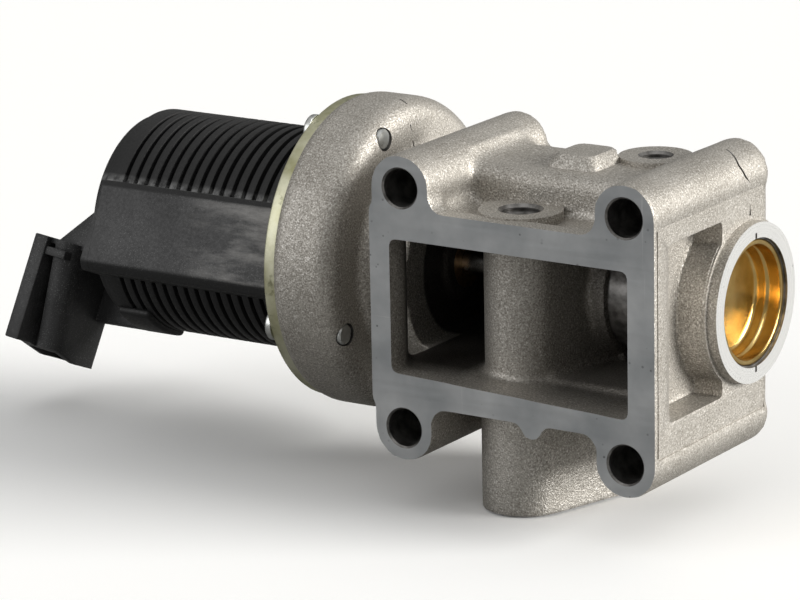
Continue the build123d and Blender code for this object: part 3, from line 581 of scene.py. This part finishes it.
# The crown over the chamber is rounded along its top edges at the front and the rear
crown = slab((-bolt_x, bolt_x), (neck_depth, crown_rear), (0, casing_top))
bpy.ops.object.mode_set(mode="EDIT")
bpy.ops.mesh.select_mode(type="EDGE")
bpy.ops.mesh.select_all(action="DESELECT")
bpy.ops.object.mode_set(mode="OBJECT")
for edge in crown.data.edges:
    start, end = [crown.data.vertices[index].co for index in edge.vertices]
    along_top = min(start.z, end.z) > casing_top * mm / 2
    edge.select = along_top and abs(start.x - end.x) > bolt_x * mm
bpy.ops.object.mode_set(mode="EDIT")
bpy.ops.mesh.bevel(offset=casing_round * mm, segments=8)
bpy.ops.object.mode_set(mode="OBJECT")
corners = []
for side in (-1, 1):
    corners.append(saddle(side, 3, neck_top, (-cut_stock, flange_depth)))
    corners.append(saddle(side, 3, neck_floor, (flange_depth - 0.5, neck_depth + 2)))
    corners.append(saddle(side, 3, neck_bottom, (-cut_stock, neck_depth + 2)))
    corners.append(saddle(side, 2, casing_top, (neck_depth + 3, crown_rear - 3)))
    corners.append(saddle(side, 3, casing_bottom, (neck_depth, boss_length)))
barrels = [
    on_stem(chamber_r + barrel_wall, chamber_left - 4, chamber_right + 4),
    on_stem(neck_barrel_r, flange_front_x - 1, neck_left + 4),
]
port_boss = bar("Z", port_boss_r, neck_floor - 2, neck_top + port_rise, port_x, port_y)
rear_port_top = casing_top + rear_port_rise
rear_port_boss = bar("Z", rear_port_boss_r, casing_top - 3, rear_port_top, rear_port_x, stem_y)
pad_x, pad_y, pad_corner = 0.4, 31, 2.5
pad = []
for margin, rise in ((0.9, -0.5), (0.5, 0.3), (-0.5, 2.3), (-1.1, 2.9)):
    half_x, half_y = 5.75 + margin, 6.5 + margin
    outline = [
        (pad_x - half_x, pad_y - half_y, pad_corner), (pad_x + half_x, pad_y - half_y, pad_corner),
        (pad_x + half_x, pad_y + half_y, pad_corner), (pad_x - half_x, pad_y + half_y, pad_corner),
    ]
    pad.append(prism(rounded(outline), casing_top + rise - 0.05, casing_top + rise, "Z"))
pad = hull(*pad)
stub = column(stub_step, stub_bottom - cut_stock, stem_z - 6)
flash = prism([(0.8, -21), (3.0, -24.6), (5.0, -25.2), (6.6, -24.2), (8.4, -21)], -cut_stock, 2.2, "Y")
bolt_bosses = bosses(-cut_stock, boss_length)
outside = join(*blocks, crown, *corners, *barrels, *bolt_bosses, motor_flange(), stub, flash)
fuse(outside, outside_voxel)
relaxed(outside, 2)

# Cores: the gas space behind the window, the chamber, the column, and the pocket by the ring
gas_space = slab((window_left, window_right), (-3, 14), (window_bottom, window_top))
drop = prism(
    [
        (window_left, window_bottom + 1), (window_left, window_bottom),
        (window_right, window_bottom - window_drop), (window_right, window_bottom + 1),
    ],
    -3, 14, "Y",
)
taper = prism(
    [
        (window_left, 6), (window_right, 6), (chamber_right, neck_depth), (chamber_right, stem_y),
        (chamber_left, stem_y), (chamber_left, neck_depth),
    ],
    stem_z - chamber_r, stem_z + chamber_r, "Z",
)
core = join(gas_space, drop, taper, on_stem(chamber_r, chamber_left, chamber_right))
fuse(core, core_voxel)
cut(outside, core)
inner_column = column(0, stem_z - chamber_r - 2, stem_z + chamber_r + 2)
guide_boss = on_stem(guide_boss_r, -54.0, -36.6)
seat_boss = on_stem(seat_boss_r, column_x - column_r, column_x + column_r)
valve_casting = join(outside, inner_column, guide_boss, seat_boss)
fuse(valve_casting, casting_voxel)
cut(valve_casting, column(-column_wall, stub_bottom - 3, stem_z + chamber_r - 1))
pocket_core = pocket()
cut(pocket_core, on_stem(ring_step_r, 20, side_x + 5))
fuse(pocket_core, pocket_voxel)
relaxed(pocket_core, 3)
cut(valve_casting, painted(pocket_core, cast_skin))
relaxed(valve_casting, 2)
valve_casting.name = "valve_casting"
painted(valve_casting, cast_skin)

# The plug's ring, with a small step at its foot
ring_overlap = 0.06
ring = turned(
    [
        (side_x - 10.7, ring_step_r + ring_overlap), (side_x - 1.0, ring_step_r + ring_overlap),
        (side_x - 0.7, ring_step_r - 0.3), (side_x - 0.6, ring_r + 0.2), (ring_face + cut_stock, ring_r),
    ],
    solid=True,
)
weld(valve_casting, painted(moved(ring, stem_place), cast_skin))

# Machining: flange faces, then bolt holes and ports, then the bores about the stem
wide = (-60, 90)
faces = [
    painted(slab((-80, 60), (-6, 0), wide), milled_face),
    painted(slab((ring_face, 50), (1, 90), wide), turned_face),
    painted(slab((-90, clamp_front), (1, 90), wide), turned_face),
    painted(slab((-30, 20), (1, 70), (-60, stub_bottom)), turned_face),
]
cut(valve_casting, join(*faces))

# Crisp forms of the mould: the port bosses and the pad on top, the side panel and its groove
for y in ((neck_depth, 40), (-5, 0.6)):
    cut(port_boss, slab((-15, 6), y, (10, 40)))
for boss in (port_boss, pad, rear_port_boss):
    weld(valve_casting, painted(boss, cast_skin))
spot_face = bar("Z", rear_port_boss_r + 0.4, rear_port_top, casing_top + 5, rear_port_x, stem_y)
cut(valve_casting, painted(spot_face, cast_skin))
side_panel = slab((panel_x, side_x + 3), (flange_lip_depth, boss_length - 2), (-25.5, 25.0))
cut(side_panel, on_stem(ring_step_r, 20, side_x + 5))
cut(valve_casting, painted(side_panel, cast_skin))

# Cold shuts, where two fronts of the metal met: short dark cracks on a boss and on the flange
boss_crack = prism(
    [(39.7, 33.9), (38.3, 31.1), (39.4, 28.4), (41.6, 26.6), (40.0, 28.6), (38.9, 31.1), (40.2, 33.9)],
    30, 37, "X",
)
cut(boss_crack, bar("Y", boss_r - 0.5, 30, 52, bolt_x, bolt_z))
lower_crack = prism([(42.2, 22.0), (42.0, 19.2), (42.7, 19.2)], side_x - 0.9, side_x + 1, "X")
crack_floor, crack_mouth = flange_front_x - 0.5, flange_front_x + 1
flange_cracks = [
    prism([(39.0, 30.8), (39.7, 28.7), (39.3, 30.9)], crack_floor, crack_mouth, "X"),
    prism([(39.9, 26.9), (39.95, 25.1), (40.3, 25.1), (40.2, 26.9)], crack_floor, crack_mouth, "X"),
    slab((-54.4, -52.4), (40.7, 41.1), (34.9, 38)),
]
# The crack walls are painted dark: painted shade inside the cracks
for crack in (boss_crack, lower_crack, *flange_cracks):
    cut(valve_casting, painted(crack, hole_wall_shade))
panel_groove = slab((side_x - 2.0, side_x + 3.3), (1.05, 2.25), (-25.2, 24.7))
cut(valve_casting, painted(panel_groove, cast_skin))


def drill(radius, depth, chamfer, place, axis, turn=Matrix(), pitch=0):
    """Drill with a countersinking shoulder: enters the surface at a place and runs along an axis.

    With a pitch it also leaves the grooves of a thread.
    """
    outline = [(-1, radius + chamfer + 1), (chamfer, radius)]
    if pitch:
        for groove in range(int((depth - 2) / pitch)):
            start = chamfer + 0.2 + groove * pitch
            outline += [(start, radius), (start + pitch / 2, radius + pitch / 2), (start + pitch, radius)]
    outline.append((depth, radius))
    quarter = math.pi / 2
    toward = {"X": Matrix(), "Y": Matrix.Rotation(quarter, 4, "Z"), "-Z": Matrix.Rotation(quarter, 4, "Y")}
    at = Matrix.Translation([number * mm for number in place])
    # The hole's walls are painted dark: painted shade inside the hole
    return painted(moved(turned(outline, solid=True, sides=64), turn @ at @ toward[axis]), hole_wall_shade)


screw_circle_r, motor_roll, no_chamfer = 31.5, 22.4, 0.01
screw_turns = [
    stem_place @ Matrix.Rotation(math.radians(motor_roll + 90 * quarter), 4, "X") for quarter in range(4)
]
holes = [drill(bolt_hole_r, 55, 0.4, (x, 0, z), "Y") for x in (-bolt_x, bolt_x) for z in (-bolt_z, bolt_z)]
holes.append(drill(port_hole_r, 9, 0.7, (port_x, port_y, neck_top + port_rise), "-Z", pitch=1.25))
holes.append(drill(rear_port_hole_r, 11, 0.6, (rear_port_x, stem_y, rear_port_top), "-Z", pitch=1.0))
for turn in screw_turns:
    holes.append(drill(2.62, 25, no_chamfer, (rim_x, screw_circle_r, 0), "X", turn))
for hole in holes:
    cut(valve_casting, hole)
plug_rim = ring_face - 0.7
seat_bore = turned(
    [(-24.4, 12), (4, 12), (4, plug_bore_r), (plug_rim, plug_bore_r), (plug_rim, plug_bore_r + 0.35),
     (ring_face + 1, plug_bore_r + 0.35)],
    solid=True,
)
stakes = []
for z in (stem_z - 14.6, stem_z + 14.6):
    stakes.append(slab((ring_face - 0.5, ring_face + 1), (stem_y - 0.4, stem_y + 0.4), (z - 1.0, z + 1.0)))
motor_recess = turned(
    [
        (-67, 28.4), (recess_x, 28.4), (recess_x, 19), (-56, 19), (-56, spring_well_r),
        (-54, spring_well_r),
    ],
    solid=True,
)
# The bores and stakes are painted dark too: painted shade inside them
for bore in (moved(join(seat_bore, motor_recess), stem_place), *stakes):
    cut(valve_casting, painted(bore, hole_wall_shade))
spring_well = turned([(-56.5, spring_well_r), (-42.6, spring_well_r), (-42.6, 8.7), (-56.5, 8.7)])
guide_bore = bar("X", 6.0, -57, -35.6, 0, 0)
for bore in (spring_well, guide_bore):
    cut(valve_casting, painted(moved(bore, stem_place), turned_face))
smooth_shaded(valve_casting)
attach(valve_casting, "body")
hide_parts("valve_body")

# ---- Body: end plug -----------------------------------------------------------------------
# Drawn steel cup, yellow zinc plated, pressed into the bore through which both seats are
# machined. Its wall steps in halfway, and two stakes in the ring's edge hold it.


def added(piece, name, body, slot, *nodes):
    """Names a finished piece and says what it rides on and stands for. The slot argument is not used."""
    piece.name = name
    smooth_shaded(piece)
    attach(piece, body)
    if nodes:
        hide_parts(*nodes)
    return piece


yellow_zinc, tree, shader, place = surface("yellow_zinc", metallic=1.0)
rings = tool_rings(tree, place, 4200.0, 2.0)
cloud = noise(tree, place, 130.0, 4.0)
tone = blended(tree, ramp(tree, cloud, 0.3, 0.7), rgb(0.60, 0.39, 0.12), rgb(0.86, 0.62, 0.25))
tone = blended(tree, ramp(tree, rings, 0.55, 0.8, 0.0, 0.35), tone, rgb(0.97, 0.86, 0.58))
tree.links.new(tone, shader.inputs["Base Color"])
tree.links.new(ramp(tree, cloud, 0.3, 0.7, 0.14, 0.26), shader.inputs["Roughness"])
bump(tree, shader, rings, 0.03, 0.5)

plug_r, plug_wall, plug_floor = 13.9, 1.2, ring_face - 8.1
plug_inner, plug_step, plug_core = plug_r - plug_wall, plug_rim - 3.0, plug_r - plug_wall - 0.6
end_plug = turned(
    rounded([
        (plug_floor, 9.0), (plug_floor, plug_r, 1.6), (plug_rim, plug_r, 0.35), (plug_rim, plug_inner, 0.4),
        (plug_step, plug_inner, 0.35), (plug_step - 0.5, plug_core, 0.35),
        (plug_floor + plug_wall, plug_core, 1.0), (plug_floor + plug_wall, 9.0),
    ]),
    solid=True,
)
added(painted(moved(end_plug, stem_place), yellow_zinc), "end_plug_cup", "body", "yellow_zinc", "end_plug")

# ---- Seats, guide and seal ------------------------------------------------------------------
# Two ground steel seat rings pressed into the column's walls, a sintered bronze bush that guides
# the stem, and a rubber lip seal under a pressed steel cup at the bush's motor end.


def finish(material, *names):
    """Gives CAD nodes that are shown as they are a better material."""
    for name in names:
        for material_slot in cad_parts[name].material_slots:
            material_slot.material = material


def worn(name, dark, light, rough, metallic=1.0, scale=150.0, scratches=0.25, distance=0.02):
    """Handled metal or moulding: cloudy tone, uneven gloss and fine scratches."""
    material, tree, shader, place = surface(name, metallic)
    cloud = noise(tree, place, scale, 4.0)
    wear = place_group(tree, marks, place)
    tone = blended(tree, ramp(tree, cloud, 0.32, 0.68), dark, light)
    tone = blended(tree, maths(tree, "MULTIPLY", wear["Scratches"], scratches), tone, rgb(0.8, 0.8, 0.8))
    tree.links.new(tone, shader.inputs["Base Color"])
    tree.links.new(ramp(tree, cloud, 0.32, 0.68, rough - 0.06, rough + 0.08), shader.inputs["Roughness"])
    bump(tree, shader, maths(tree, "SUBTRACT", cloud, wear["Scratches"]), distance, 0.5)
    return material


seat_steel = worn("seat_steel", rgb(0.33, 0.31, 0.29), rgb(0.55, 0.53, 0.50), 0.3)
bronze = worn("sintered_bronze", rgb(0.36, 0.22, 0.11), rgb(0.55, 0.36, 0.19), 0.45, scale=900.0)
rubber = worn("seal_rubber", rgb(0.012, 0.012, 0.012), rgb(0.03, 0.03, 0.03), 0.6, 0.0, 300.0, 0.0)
plain_steel = worn("plain_steel", rgb(0.38, 0.38, 0.39), rgb(0.58, 0.58, 0.58), 0.34)
finish(seat_steel, "seat_ring_left", "seat_ring_right")
finish(bronze, "stem_guide_bush", "rear_bush")
finish(rubber, "stem_seal", "housing_seal_ring")
finish(plain_steel, "seal_cup")

# ---- Valve stem with two discs --------------------------------------------------------------
# Ground stainless stem. The discs close on the seats together, a tube on the stem sets their
# distance, and a nut on the stem's thread clamps them. Hot gas has browned the discs.

stem_steel = worn("stem_steel", rgb(0.45, 0.44, 0.42), rgb(0.66, 0.65, 0.63), 0.22)
browned = worn("browned_steel", rgb(0.16, 0.12, 0.09), rgb(0.34, 0.28, 0.22), 0.4, scale=90.0)
finish(stem_steel, "valve_stem", "disc_spacer")
finish(browned, "valve_disc_left", "valve_disc_right")
finish(plain_steel, "disc_nut")

# ---- Return spring --------------------------------------------------------------------------
# Cold-wound spring wire between the body and a pressed steel seat on the stem's end, which
# carries the small magnet that the position sensor reads.

spring_steel = worn("spring_steel", rgb(0.22, 0.22, 0.22), rgb(0.42, 0.41, 0.40), 0.28, scale=400.0)
ferrite = worn("magnet_ferrite", rgb(0.035, 0.035, 0.038), rgb(0.09, 0.09, 0.095), 0.55, 0.2, 700.0, 0.1)
finish(spring_steel, "return_spring", "brush_springs")
finish(plain_steel, "spring_seat")
finish(ferrite, "sensor_magnet", "magnets")

# ---- Lead screw and rotor -------------------------------------------------------------------
# Flatted spindle on the stem inside a turned sleeve, which carries the slotted iron core, its
# varnished copper winding and the copper commutator.

core_sheet = worn("core_sheet", rgb(0.20, 0.20, 0.21), rgb(0.36, 0.36, 0.37), 0.42, scale=500.0)
copper = worn("winding_copper", rgb(0.42, 0.14, 0.05), rgb(0.74, 0.32, 0.15), 0.3, scale=350.0)
finish(stem_steel, "spindle", "rotor_sleeve")
finish(core_sheet, "rotor_core")
finish(copper, "winding_ends", "commutator")

# ---- Rotor bearing and its plate ------------------------------------------------------------
# Ball bearing with polished races, pressed into the deep-drawn hub of a steel plate that closes
# the motor's front.

bearing_steel = worn("bearing_steel", rgb(0.55, 0.55, 0.56), rgb(0.74, 0.74, 0.74), 0.16)
finish(bearing_steel, "bearing_inner_race", "bearing_outer_race", "bearing_balls")
finish(plain_steel, "bearing_plate", "motor_can")

# ---- Motor housing --------------------------------------------------------------------------
# Glass-filled black nylon moulded in one piece: a shell with fifteen cooling grooves, a flat
# wiring block along its front, a lug low at the rear, and a flange that the clamp ring holds.

motor_place = stem_place @ Matrix.Rotation(math.radians(-motor_roll), 4, "X")

black_nylon, tree, shader, place = surface("black_nylon")
rolled = node(
    tree, "ShaderNodeVectorRotate",
    {"Vector": place, "Center": (0, stem_y * mm, stem_z * mm), "Axis": (1, 0, 0),
     "Angle": math.radians(motor_roll)},
).outputs[0]
parts = node(tree, "ShaderNodeSeparateXYZ", {"Vector": rolled}).outputs
along, depth_in, height = parts[0], parts[1], parts[2]
face_low, face_high = (stem_y - 26.7) * mm, (stem_y - 26.4) * mm
on_face = ramp(tree, depth_in, face_high, face_low)
on_face = maths(tree, "MAXIMUM", on_face, ramp(tree, along, -126.5 * mm, -128.5 * mm, 0.0, 0.55))
rub_place = node(tree, "ShaderNodeMapping", {"Vector": rolled, "Scale": (0.22, 1, 1)}).outputs[0]
rub = ramp(tree, noise(tree, rub_place, 260.0, 5.0, 0.65), 0.42, 0.66)
near_ring = ramp(tree, along, -98 * mm, -82 * mm)
rubbed = multiplied(tree, rub, near_ring, on_face)
mist = ramp(tree, noise(tree, rolled, 75.0, 3.0), 0.35, 0.7, 0.3, 0.85)
dusted = maths(tree, "MULTIPLY", mist, on_face)
specks = ramp(tree, noise(tree, place, 3600.0, 1.0), 0.60, 0.70)
speck_patches = ramp(tree, noise(tree, place, 55.0, 1.0), 0.35, 0.6, 0.05, 0.5)
speckled = multiplied(tree, specks, speck_patches, ramp(tree, on_face, 0, 1, 0.15, 1.0))
# Painted highlight: a light streak along the shell just above the wiring block's top, broken up by noise
crest_highlight_breakup = ramp(tree, noise(tree, place, 420.0, 4.0), 0.40, 0.64, 0.05, 0.85)
painted_crest_highlight = ramp(tree, height, (stem_z + 4.4) * mm, (stem_z + 6.4) * mm, 1.0, 0.0)
above = ramp(tree, height, (stem_z + 4.3) * mm, (stem_z + 4.5) * mm)
painted_crest_highlight = multiplied(tree, painted_crest_highlight, above, crest_highlight_breakup)
tone = blended(tree, dusted, rgb(0.010, 0.010, 0.0105), rgb(0.095, 0.095, 0.097))
tone = blended(tree, maths(tree, "MULTIPLY", rubbed, 0.95), tone, rgb(0.36, 0.35, 0.34))
# This grey serves both the specks in the moulding and the painted highlight
tone = blended(tree, maths(tree, "MAXIMUM", speckled, painted_crest_highlight), tone, rgb(0.30, 0.30, 0.30))
tree.links.new(tone, shader.inputs["Base Color"])
flow = noise(tree, place, 1500.0, 3.0)
tree.links.new(ramp(tree, flow, 0.3, 0.7, 0.38, 0.58), shader.inputs["Roughness"])
shader.inputs["Specular IOR Level"].default_value = 0.36
bump(tree, shader, flow, 0.05, 0.6)

cap_seam, housing_r, housing_bore = -121.5, 25.74, 21.6
shell_rear, shell_flange_r, bore_end_x = cap_seam + 0.04, 28.3, -74.2
grooves, first_groove, groove_pitch = 15, cap_seam + 5.2, 3.02
groove_depth, groove_half, groove_round = 1.5, 0.55, 0.3
outline = [(shell_rear, housing_bore), (shell_rear, housing_r, 0.25)]
for groove in range(grooves):
    middle = first_groove + groove * groove_pitch
    for edge, r in ((-1, 0), (-1, groove_depth), (1, groove_depth), (1, 0)):
        outline.append((middle + edge * groove_half, housing_r - r, groove_round))
outline += [
    (clamp_front, housing_r), (clamp_front, shell_flange_r), (recess_x, shell_flange_r, 0.3),
    (recess_x, 19.0), (bore_end_x, 19.0), (bore_end_x, housing_bore),
]
motor_shell = turned(rounded(outline, 2), sides=144)

wiring_face, wiring_top, wiring_bottom = housing_r + 0.86, 4.4, -17.0
wiring_root = housing_r - 2.6
wiring_outline = rounded(
    [(-wiring_root, wiring_top), (0.05 - housing_r, wiring_top), (-wiring_face, wiring_top - 1.5, 0.3),
     (-wiring_face, wiring_bottom + 2.0, 0.8), (1.6 - wiring_face, wiring_bottom, 0.8)]
    + [(-math.sqrt(wiring_root**2 - z * z), z) for z in (wiring_bottom, -13, -9, -5, -1, 3)], 6
)
weld(motor_shell, prism(wiring_outline, shell_rear, rim_x - 0.02, "X"))
outline = []
for radius, turns in ((housing_r + 1.3, range(64, 101, 4)), (housing_r - 1, range(100, 63, -4))):
    for angle in turns:
        outline.append((-radius * math.cos(math.radians(angle)), -radius * math.sin(math.radians(angle))))
weld(motor_shell, softened(prism(outline, shell_rear, cap_seam + 9.5, "X"), 1.2, 4, angle=50))
painted(moved(motor_shell, motor_place), black_nylon)
added(motor_shell, "motor_shell", "body", "black_nylon", "motor_housing")

# ---- Clamp ring -----------------------------------------------------------------------------
# Stamped steel ring, pale yellow zinc, moulded into the housing. Four screws through it clamp
# the housing's flange in the body's recess.

pale_zinc, tree, shader, place = surface("pale_zinc", metallic=0.85)
cloud = noise(tree, place, 110.0, 5.0)
stain = noise(tree, place, 380.0, 4.0)
tone = blended(tree, ramp(tree, cloud, 0.35, 0.65), rgb(0.40, 0.39, 0.22), rgb(0.74, 0.73, 0.57))
tone = blended(tree, ramp(tree, stain, 0.60, 0.72, 0.0, 0.8), tone, rgb(0.20, 0.20, 0.12))
tree.links.new(tone, shader.inputs["Base Color"])
tree.links.new(ramp(tree, cloud, 0.3, 0.7, 0.32, 0.5), shader.inputs["Roughness"])
bump(tree, shader, stain, 0.08, 0.5)

ring_bore, ring_front = housing_r + 0.03, clamp_front - 0.02
outline = [
    (rim_x, ring_bore, 0.15), (rim_x, rim_r, 0.4), (ring_front, rim_r, 0.25), (ring_front, ring_bore, 0.1),
]
clamp_ring = moved(turned(rounded(outline)), stem_place)
for turn in screw_turns:
    cut(clamp_ring, drill(2.6, 10, no_chamfer, (rim_x - 2, screw_circle_r, 0), "X", turn))
added(painted(clamp_ring, pale_zinc), "clamp_ring_plate", "body", "yellow_zinc", "clamp_ring")

# ---- Flange screws --------------------------------------------------------------------------
# Four low-head socket screws in zinc-plated steel. They enter at the clamp ring, and their cut
# ends lie just inside the body flange's holes.

screw_steel = worn("screw_steel", rgb(0.48, 0.49, 0.48), rgb(0.70, 0.71, 0.69), 0.3, scale=500.0)
head_x, screw_end = rim_x - 1.6, flange_front_x - 0.25
head_r, shank_r, socket_r = 3.7, 2.4, 2.31
outline = [
    (head_x, 3.0), (head_x, head_r, 0.5), (rim_x, head_r, 0.1), (rim_x, shank_r), (screw_end - 0.5, shank_r),
    (screw_end - 0.1, 2.1), (screw_end, 1.3),
]
screw = turned(rounded(outline), solid=True, sides=64)
socket = []
for side in range(6):
    angle = math.radians(60 * side)
    socket.append((socket_r * math.cos(angle), socket_r * math.sin(angle)))
cut(screw, prism(socket, head_x - 1, head_x + 1.1, "X"))
moved(screw, Matrix.Translation((0, screw_circle_r * mm, 0)))
screws = []
for turn in screw_turns:
    copy = screw.copy()
    copy.data = screw.data.copy()
    bpy.context.collection.objects.link(copy)
    screws.append(moved(copy, turn))
bpy.data.objects.remove(screw)
added(painted(join(*screws), screw_steel), "flange_screw_set", "body", "screw_steel", "flange_screws")

# ---- End cap with the connector -------------------------------------------------------------
# Black nylon cover welded on the housing's rear. An arm and a web carry the connector, which
# opens downwards: a tapered shroud with a guard plate, a slot beside it and a latch bar.

cap_rear, cap_r, spigot_end, bush_end = cap_seam - 2.8, housing_r - 1.3, cap_seam + 3.2, cap_seam + 3.4
outline = [
    (cap_rear, 20), (cap_rear, cap_r, 0.9), (cap_seam, cap_r, 0.1), (cap_seam, 21.5),
    (spigot_end, 21.5, 0.3), (spigot_end, 19.3), (cap_seam, 19.3), (cap_seam, 7.5),
    (bush_end, 7.5), (bush_end, 6.02), (cap_seam, 6.02),
]
end_cap = turned(rounded(outline), solid=True, sides=144)
wiring_end = prism(wiring_outline, cap_rear + 0.6, cap_seam + 4, "X")
cut(wiring_end, prism([(-130, 6), (cap_seam + 0.3, 6), (cap_rear + 0.3, -19), (-130, -19)], -30, 0, "Y"))
softened(wiring_end, 0.9, 3)
cut(wiring_end, slab((cap_seam, cap_seam + 6), (-40, 0), (-30, 20)))
weld(end_cap, wiring_end)

shroud_x, shroud_top, tilt = -137.6, -10.3, math.radians(7)
arm_top, arm_end = shroud_top + 21, cap_rear + 1
outline = [
    (shroud_x - 9.7, shroud_top), (cap_rear, arm_top), (arm_end, arm_top), (arm_end, shroud_top - 1),
    (shroud_x - 2, shroud_top - 1),
]
weld(end_cap, softened(prism(outline, -5.5, 5.5, "Y"), 0.4))
web = slab((shroud_x - 6, arm_end), (8, 12.6), (shroud_top - 16, shroud_top - 0.5))
weld(end_cap, softened(web, 0.6))

# The shroud stands upright at its own top, and is tilted into place when it is done
shroud_left, shroud_right, mouth = -12.3, -1.4, -25.5
shroud = []
for front, rear, z, corner in ((-8.6, 13, 0, 4.6), (-4.6, 3, mouth, 4.6), (5, 13, mouth - 2.1, 1)):
    outline = [
        (shroud_left, front, 0.5), (shroud_right, front, corner), (shroud_right, rear, 1.2),
        (shroud_left, rear, 1.2),
    ]
    shroud.append(prism(rounded(outline, 8), z - 0.01, z, "Z"))
shroud = hull(*shroud)
slot_top = slab((-8.4, -7.0), (-10, -4.2), (-26, -1.2))
slot_foot = slab((-8.4, -6.4), (-10, -2.6), (-26, mouth))
cut(shroud, hull(slot_top, slot_foot))
guard_plate = slab((shroud_left, -8.4), (-10.2, -3), (mouth, 0))
weld(shroud, softened(guard_plate, 0.3))
latch_bar = slab((-8.6, -2.6), (-9.7, -4), (-4.2, -2.2))
weld(shroud, softened(latch_bar, 0.25))
cut(shroud, slab((shroud_left + 1.4, shroud_right - 1.6), (-1.6, 11.4), (-29, -6)))
shroud_place = Matrix.Translation((shroud_x * mm, 0, shroud_top * mm)) @ Matrix.Rotation(tilt, 4, "Y")
weld(end_cap, moved(shroud, shroud_place))
added(painted(moved(end_cap, motor_place), black_nylon), "end_cover", "body", "black_nylon", "end_cap")

# ---- Connector terminals and lead frame -----------------------------------------------------
# Five tinned brass blades stand in a row in the connector's mouth, and three strips moulded
# into the wiring block run forward to the position sensor.

tinned_brass = worn("tinned_brass", rgb(0.55, 0.50, 0.38), rgb(0.74, 0.70, 0.58), 0.28)
sensor_plastic = worn(
    "sensor_plastic", rgb(0.02, 0.022, 0.026), rgb(0.05, 0.052, 0.056), 0.4, 0.0, 600.0, 0.1
)
finish(tinned_brass, "lead_frame")
blade_half = 0.75
blades = []
for y in (0.3, 2.6, 4.9, 7.2, 9.5):
    blade = softened(slab((-7.35, -6.55), (y - blade_half, y + blade_half), (-19, -3)), 0.15)
    blades.append(moved(blade, motor_place @ shroud_place))
added(painted(join(*blades), tinned_brass), "terminal_blades", "body", "tinned_brass", "connector_terminals")
finish(sensor_plastic, "position_sensor")

# ---- Brush gear -----------------------------------------------------------------------------
# Moulded holder ring with two boxes, in which leaf springs press carbon brushes on the
# commutator.

brush_plastic = worn("brush_plastic", rgb(0.16, 0.13, 0.10), rgb(0.26, 0.21, 0.16), 0.5, 0.0, 700.0, 0.1)
carbon = worn("brush_carbon", rgb(0.02, 0.02, 0.02), rgb(0.06, 0.06, 0.06), 0.5, 0.3, 900.0, 0.2)
finish(brush_plastic, "brush_holder")
finish(carbon, "brushes")

# ---- Camera and light ---------------------------------------------------------------------
# A long lens from the front right and a little above, turned a touch about its own line.

camera_data = bpy.data.cameras.new("camera")
camera = bpy.data.objects.new("camera", camera_data)
bpy.context.collection.objects.link(camera)
bpy.context.scene.camera = camera
camera_data.sensor_width = 36.0
camera_data.lens = 202.5
azimuth, elevation, roll = math.radians(33.32), math.radians(15.1), math.radians(-1.13)
aim = Vector((-28.42 * mm, 0, 2.0 * mm))
distance = 978.05 * mm
level = math.cos(elevation)
back = Vector((math.sin(azimuth) * level, -math.cos(azimuth) * level, math.sin(elevation)))
right = Vector((math.cos(azimuth), math.sin(azimuth), 0))
turn = Matrix((right, back.cross(right), back)).transposed() @ Matrix.Rotation(roll, 3, "Z")
camera.matrix_world = Matrix.Translation(aim + back * distance) @ turn.to_4x4()
camera_data.clip_start = 0.01
camera_data.clip_end = 20

# A pale floor, one soft key light low from the right, a weak one from the front left, a wide dim
# one overhead, and a dim grey room with a brighter ceiling. The floor and the room look white to
# the camera alone.


def sun(name, strength, spread, azimuth, elevation, colour=(1, 1, 1)):
    light = bpy.data.objects.new(name, bpy.data.lights.new(name, "SUN"))
    light.data.energy = strength
    light.data.angle = math.radians(spread)
    light.data.color = colour
    light.rotation_euler = (math.radians(90 - elevation), 0, math.radians(azimuth))
    bpy.context.collection.objects.link(light)


sun("key_light", 4.9, 30, 106, 16, (1.0, 0.985, 0.95))
sun("front_light", 0.72, 40, -35, 22)
sun("ceiling_light", 0.45, 90, 30, 80)

world = bpy.data.worlds.new("studio")
bpy.context.scene.world = world
world.use_nodes = True
tree = world.node_tree
toward = node(tree, "ShaderNodeTexCoord").outputs["Generated"]
parts = node(tree, "ShaderNodeSeparateXYZ", {"Vector": toward}).outputs
ceiling = ramp(tree, parts[2], -0.1, 0.75)
room = blended(tree, ceiling, rgb(0.10, 0.10, 0.10), rgb(0.42, 0.42, 0.41))
seen = node(tree, "ShaderNodeLightPath").outputs["Is Camera Ray"]
room = blended(tree, seen, room, rgb(1.0, 1.0, 1.0))
tree.links.new(room, tree.nodes["Background"].inputs["Color"])
tree.nodes["Background"].inputs["Strength"].default_value = 1.0

floor_paint, tree, shader, place = surface("floor_paint", roughness=0.9)
seen = node(tree, "ShaderNodeLightPath").outputs["Is Camera Ray"]
tree.links.new(blended(tree, seen, rgb(0.30, 0.30, 0.295), rgb(1.0, 1.0, 1.0)), shader.inputs["Base Color"])
bpy.ops.mesh.primitive_plane_add(size=8, location=(0, 0, cad_box[0][2] - 0.0005))
floor = painted(apply_place(), floor_paint)
floor.name = "floor"

bpy.context.scene.view_settings.view_transform = "Standard"
